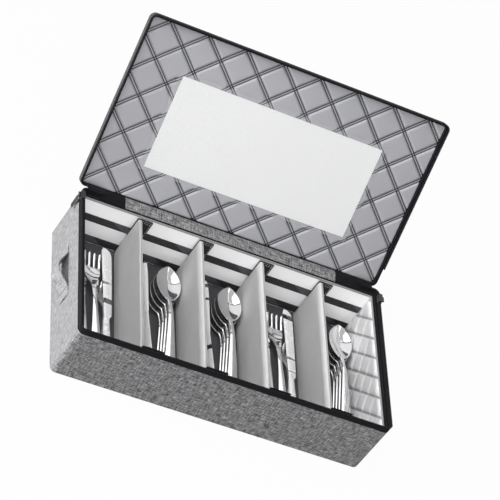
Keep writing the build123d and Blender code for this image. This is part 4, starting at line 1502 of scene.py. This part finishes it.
def make_camera(scene):
    """The camera: front left, looking down on the open case."""
    data = bpy.data.cameras.new("camera")
    data.sensor_width = 36.0
    data.lens = 185.436
    data.clip_end = 100.0
    obj = bpy.data.objects.new("camera", data)
    right = (0.8751964, -0.0375504, 0.4823083)
    up = (-0.3053557, 0.7303978, 0.6109640)
    back = (-0.3752189, -0.6819890, 0.6277753)
    spot = (-1.31914, -2.32358, 2.34317)
    obj.matrix_world = Matrix(((*right, 0), (*up, 0), (*back, 0), (*spot, 1))).transposed()
    scene.collection.objects.link(obj)
    scene.camera = obj


# ---- operators


class CHEST_OT_materials(bpy.types.Operator):
    """Mix the materials"""

    bl_idname = "chest.materials"
    bl_label = "Materials"

    def execute(self, context):
        mix_materials(context.scene.chest_colours, context.scene.chest_sizes)
        return {"FINISHED"}


class CHEST_OT_case(bpy.types.Operator):
    """Cover the case and line its floor and walls"""

    bl_idname = "chest.case"
    bl_label = "Case and linings"

    def execute(self, context):
        sizes = context.scene.chest_sizes
        make_tray()
        make_floor_pad()
        make_plain_linings()
        make_quilted_ends(sizes)
        make_hook_strips()
        return {"FINISHED"}


class CHEST_OT_lid(bpy.types.Operator):
    """Cover the lid, line it and add the card"""

    bl_idname = "chest.lid"
    bl_label = "Lid"

    def execute(self, context):
        sizes = context.scene.chest_sizes
        make_lid()
        make_quilted_lid(sizes)
        make_card()
        return {"FINISHED"}


class CHEST_OT_edges(bpy.types.Operator):
    """Bind the rim and add the zip and the fabric hinge"""

    bl_idname = "chest.edges"
    bl_label = "Rim, zip and hinge"

    def execute(self, context):
        sizes = context.scene.chest_sizes
        make_rim(sizes)
        make_zip(sizes)
        make_hinge(sizes)
        dress("enamel", "zip_slider_left", "zip_slider_right", "zip_pull_left", "zip_pull_right")
        return {"FINISHED"}


class CHEST_OT_handles(bpy.types.Operator):
    """Add the strap handles"""

    bl_idname = "chest.handles"
    bl_label = "Handles"

    def execute(self, context):
        make_handles(context.scene.chest_sizes)
        return {"FINISHED"}


class CHEST_OT_dividers(bpy.types.Operator):
    """Cover the dividers and their tabs"""

    bl_idname = "chest.dividers"
    bl_label = "Dividers"

    def execute(self, context):
        make_dividers(context.scene.chest_sizes)
        return {"FINISHED"}


class CHEST_OT_cutlery(bpy.types.Operator):
    """Lay the forks, spoons and knives in their bays"""

    bl_idname = "chest.cutlery"
    bl_label = "Cutlery"

    def execute(self, context):
        make_forks()
        make_spoons()
        return {"FINISHED"}


class CHEST_OT_stage(bpy.types.Operator):
    """Set up the floor, the lights, the world and the camera"""

    bl_idname = "chest.stage"
    bl_label = "Stage"

    def execute(self, context):
        make_floor()
        make_lights(context.scene)
        make_camera(context.scene)
        return {"FINISHED"}


STEPS = ("materials", "case", "lid", "edges", "handles", "dividers", "cutlery", "stage")


class CHEST_PT_panel(bpy.types.Panel):
    """The chest's pieces, sizes and colours"""

    bl_label = "Silverware chest"
    bl_idname = "CHEST_PT_panel"
    bl_space_type = "VIEW_3D"
    bl_region_type = "UI"
    bl_category = "Chest"

    def draw(self, context):
        for step in STEPS:
            self.layout.operator(f"chest.{step}")
        for group in (context.scene.chest_sizes, context.scene.chest_colours):
            for name in group.bl_rna.properties.keys():
                if name not in ("rna_type", "name"):
                    self.layout.prop(group, name)


CLASSES = (
    ChestSizes,
    ChestColours,
    CHEST_OT_materials,
    CHEST_OT_case,
    CHEST_OT_lid,
    CHEST_OT_edges,
    CHEST_OT_handles,
    CHEST_OT_dividers,
    CHEST_OT_cutlery,
    CHEST_OT_stage,
    CHEST_PT_panel,
)


def register():
    for cls in CLASSES:
        bpy.utils.register_class(cls)
    bpy.types.Scene.chest_sizes = PointerProperty(type=ChestSizes)
    bpy.types.Scene.chest_colours = PointerProperty(type=ChestColours)


def unregister():
    del bpy.types.Scene.chest_sizes
    del bpy.types.Scene.chest_colours
    for cls in reversed(CLASSES):
        bpy.utils.unregister_class(cls)


def main():
    register()
    for step in STEPS:
        getattr(bpy.ops.chest, step)()


if __name__ == "__main__":
    main()
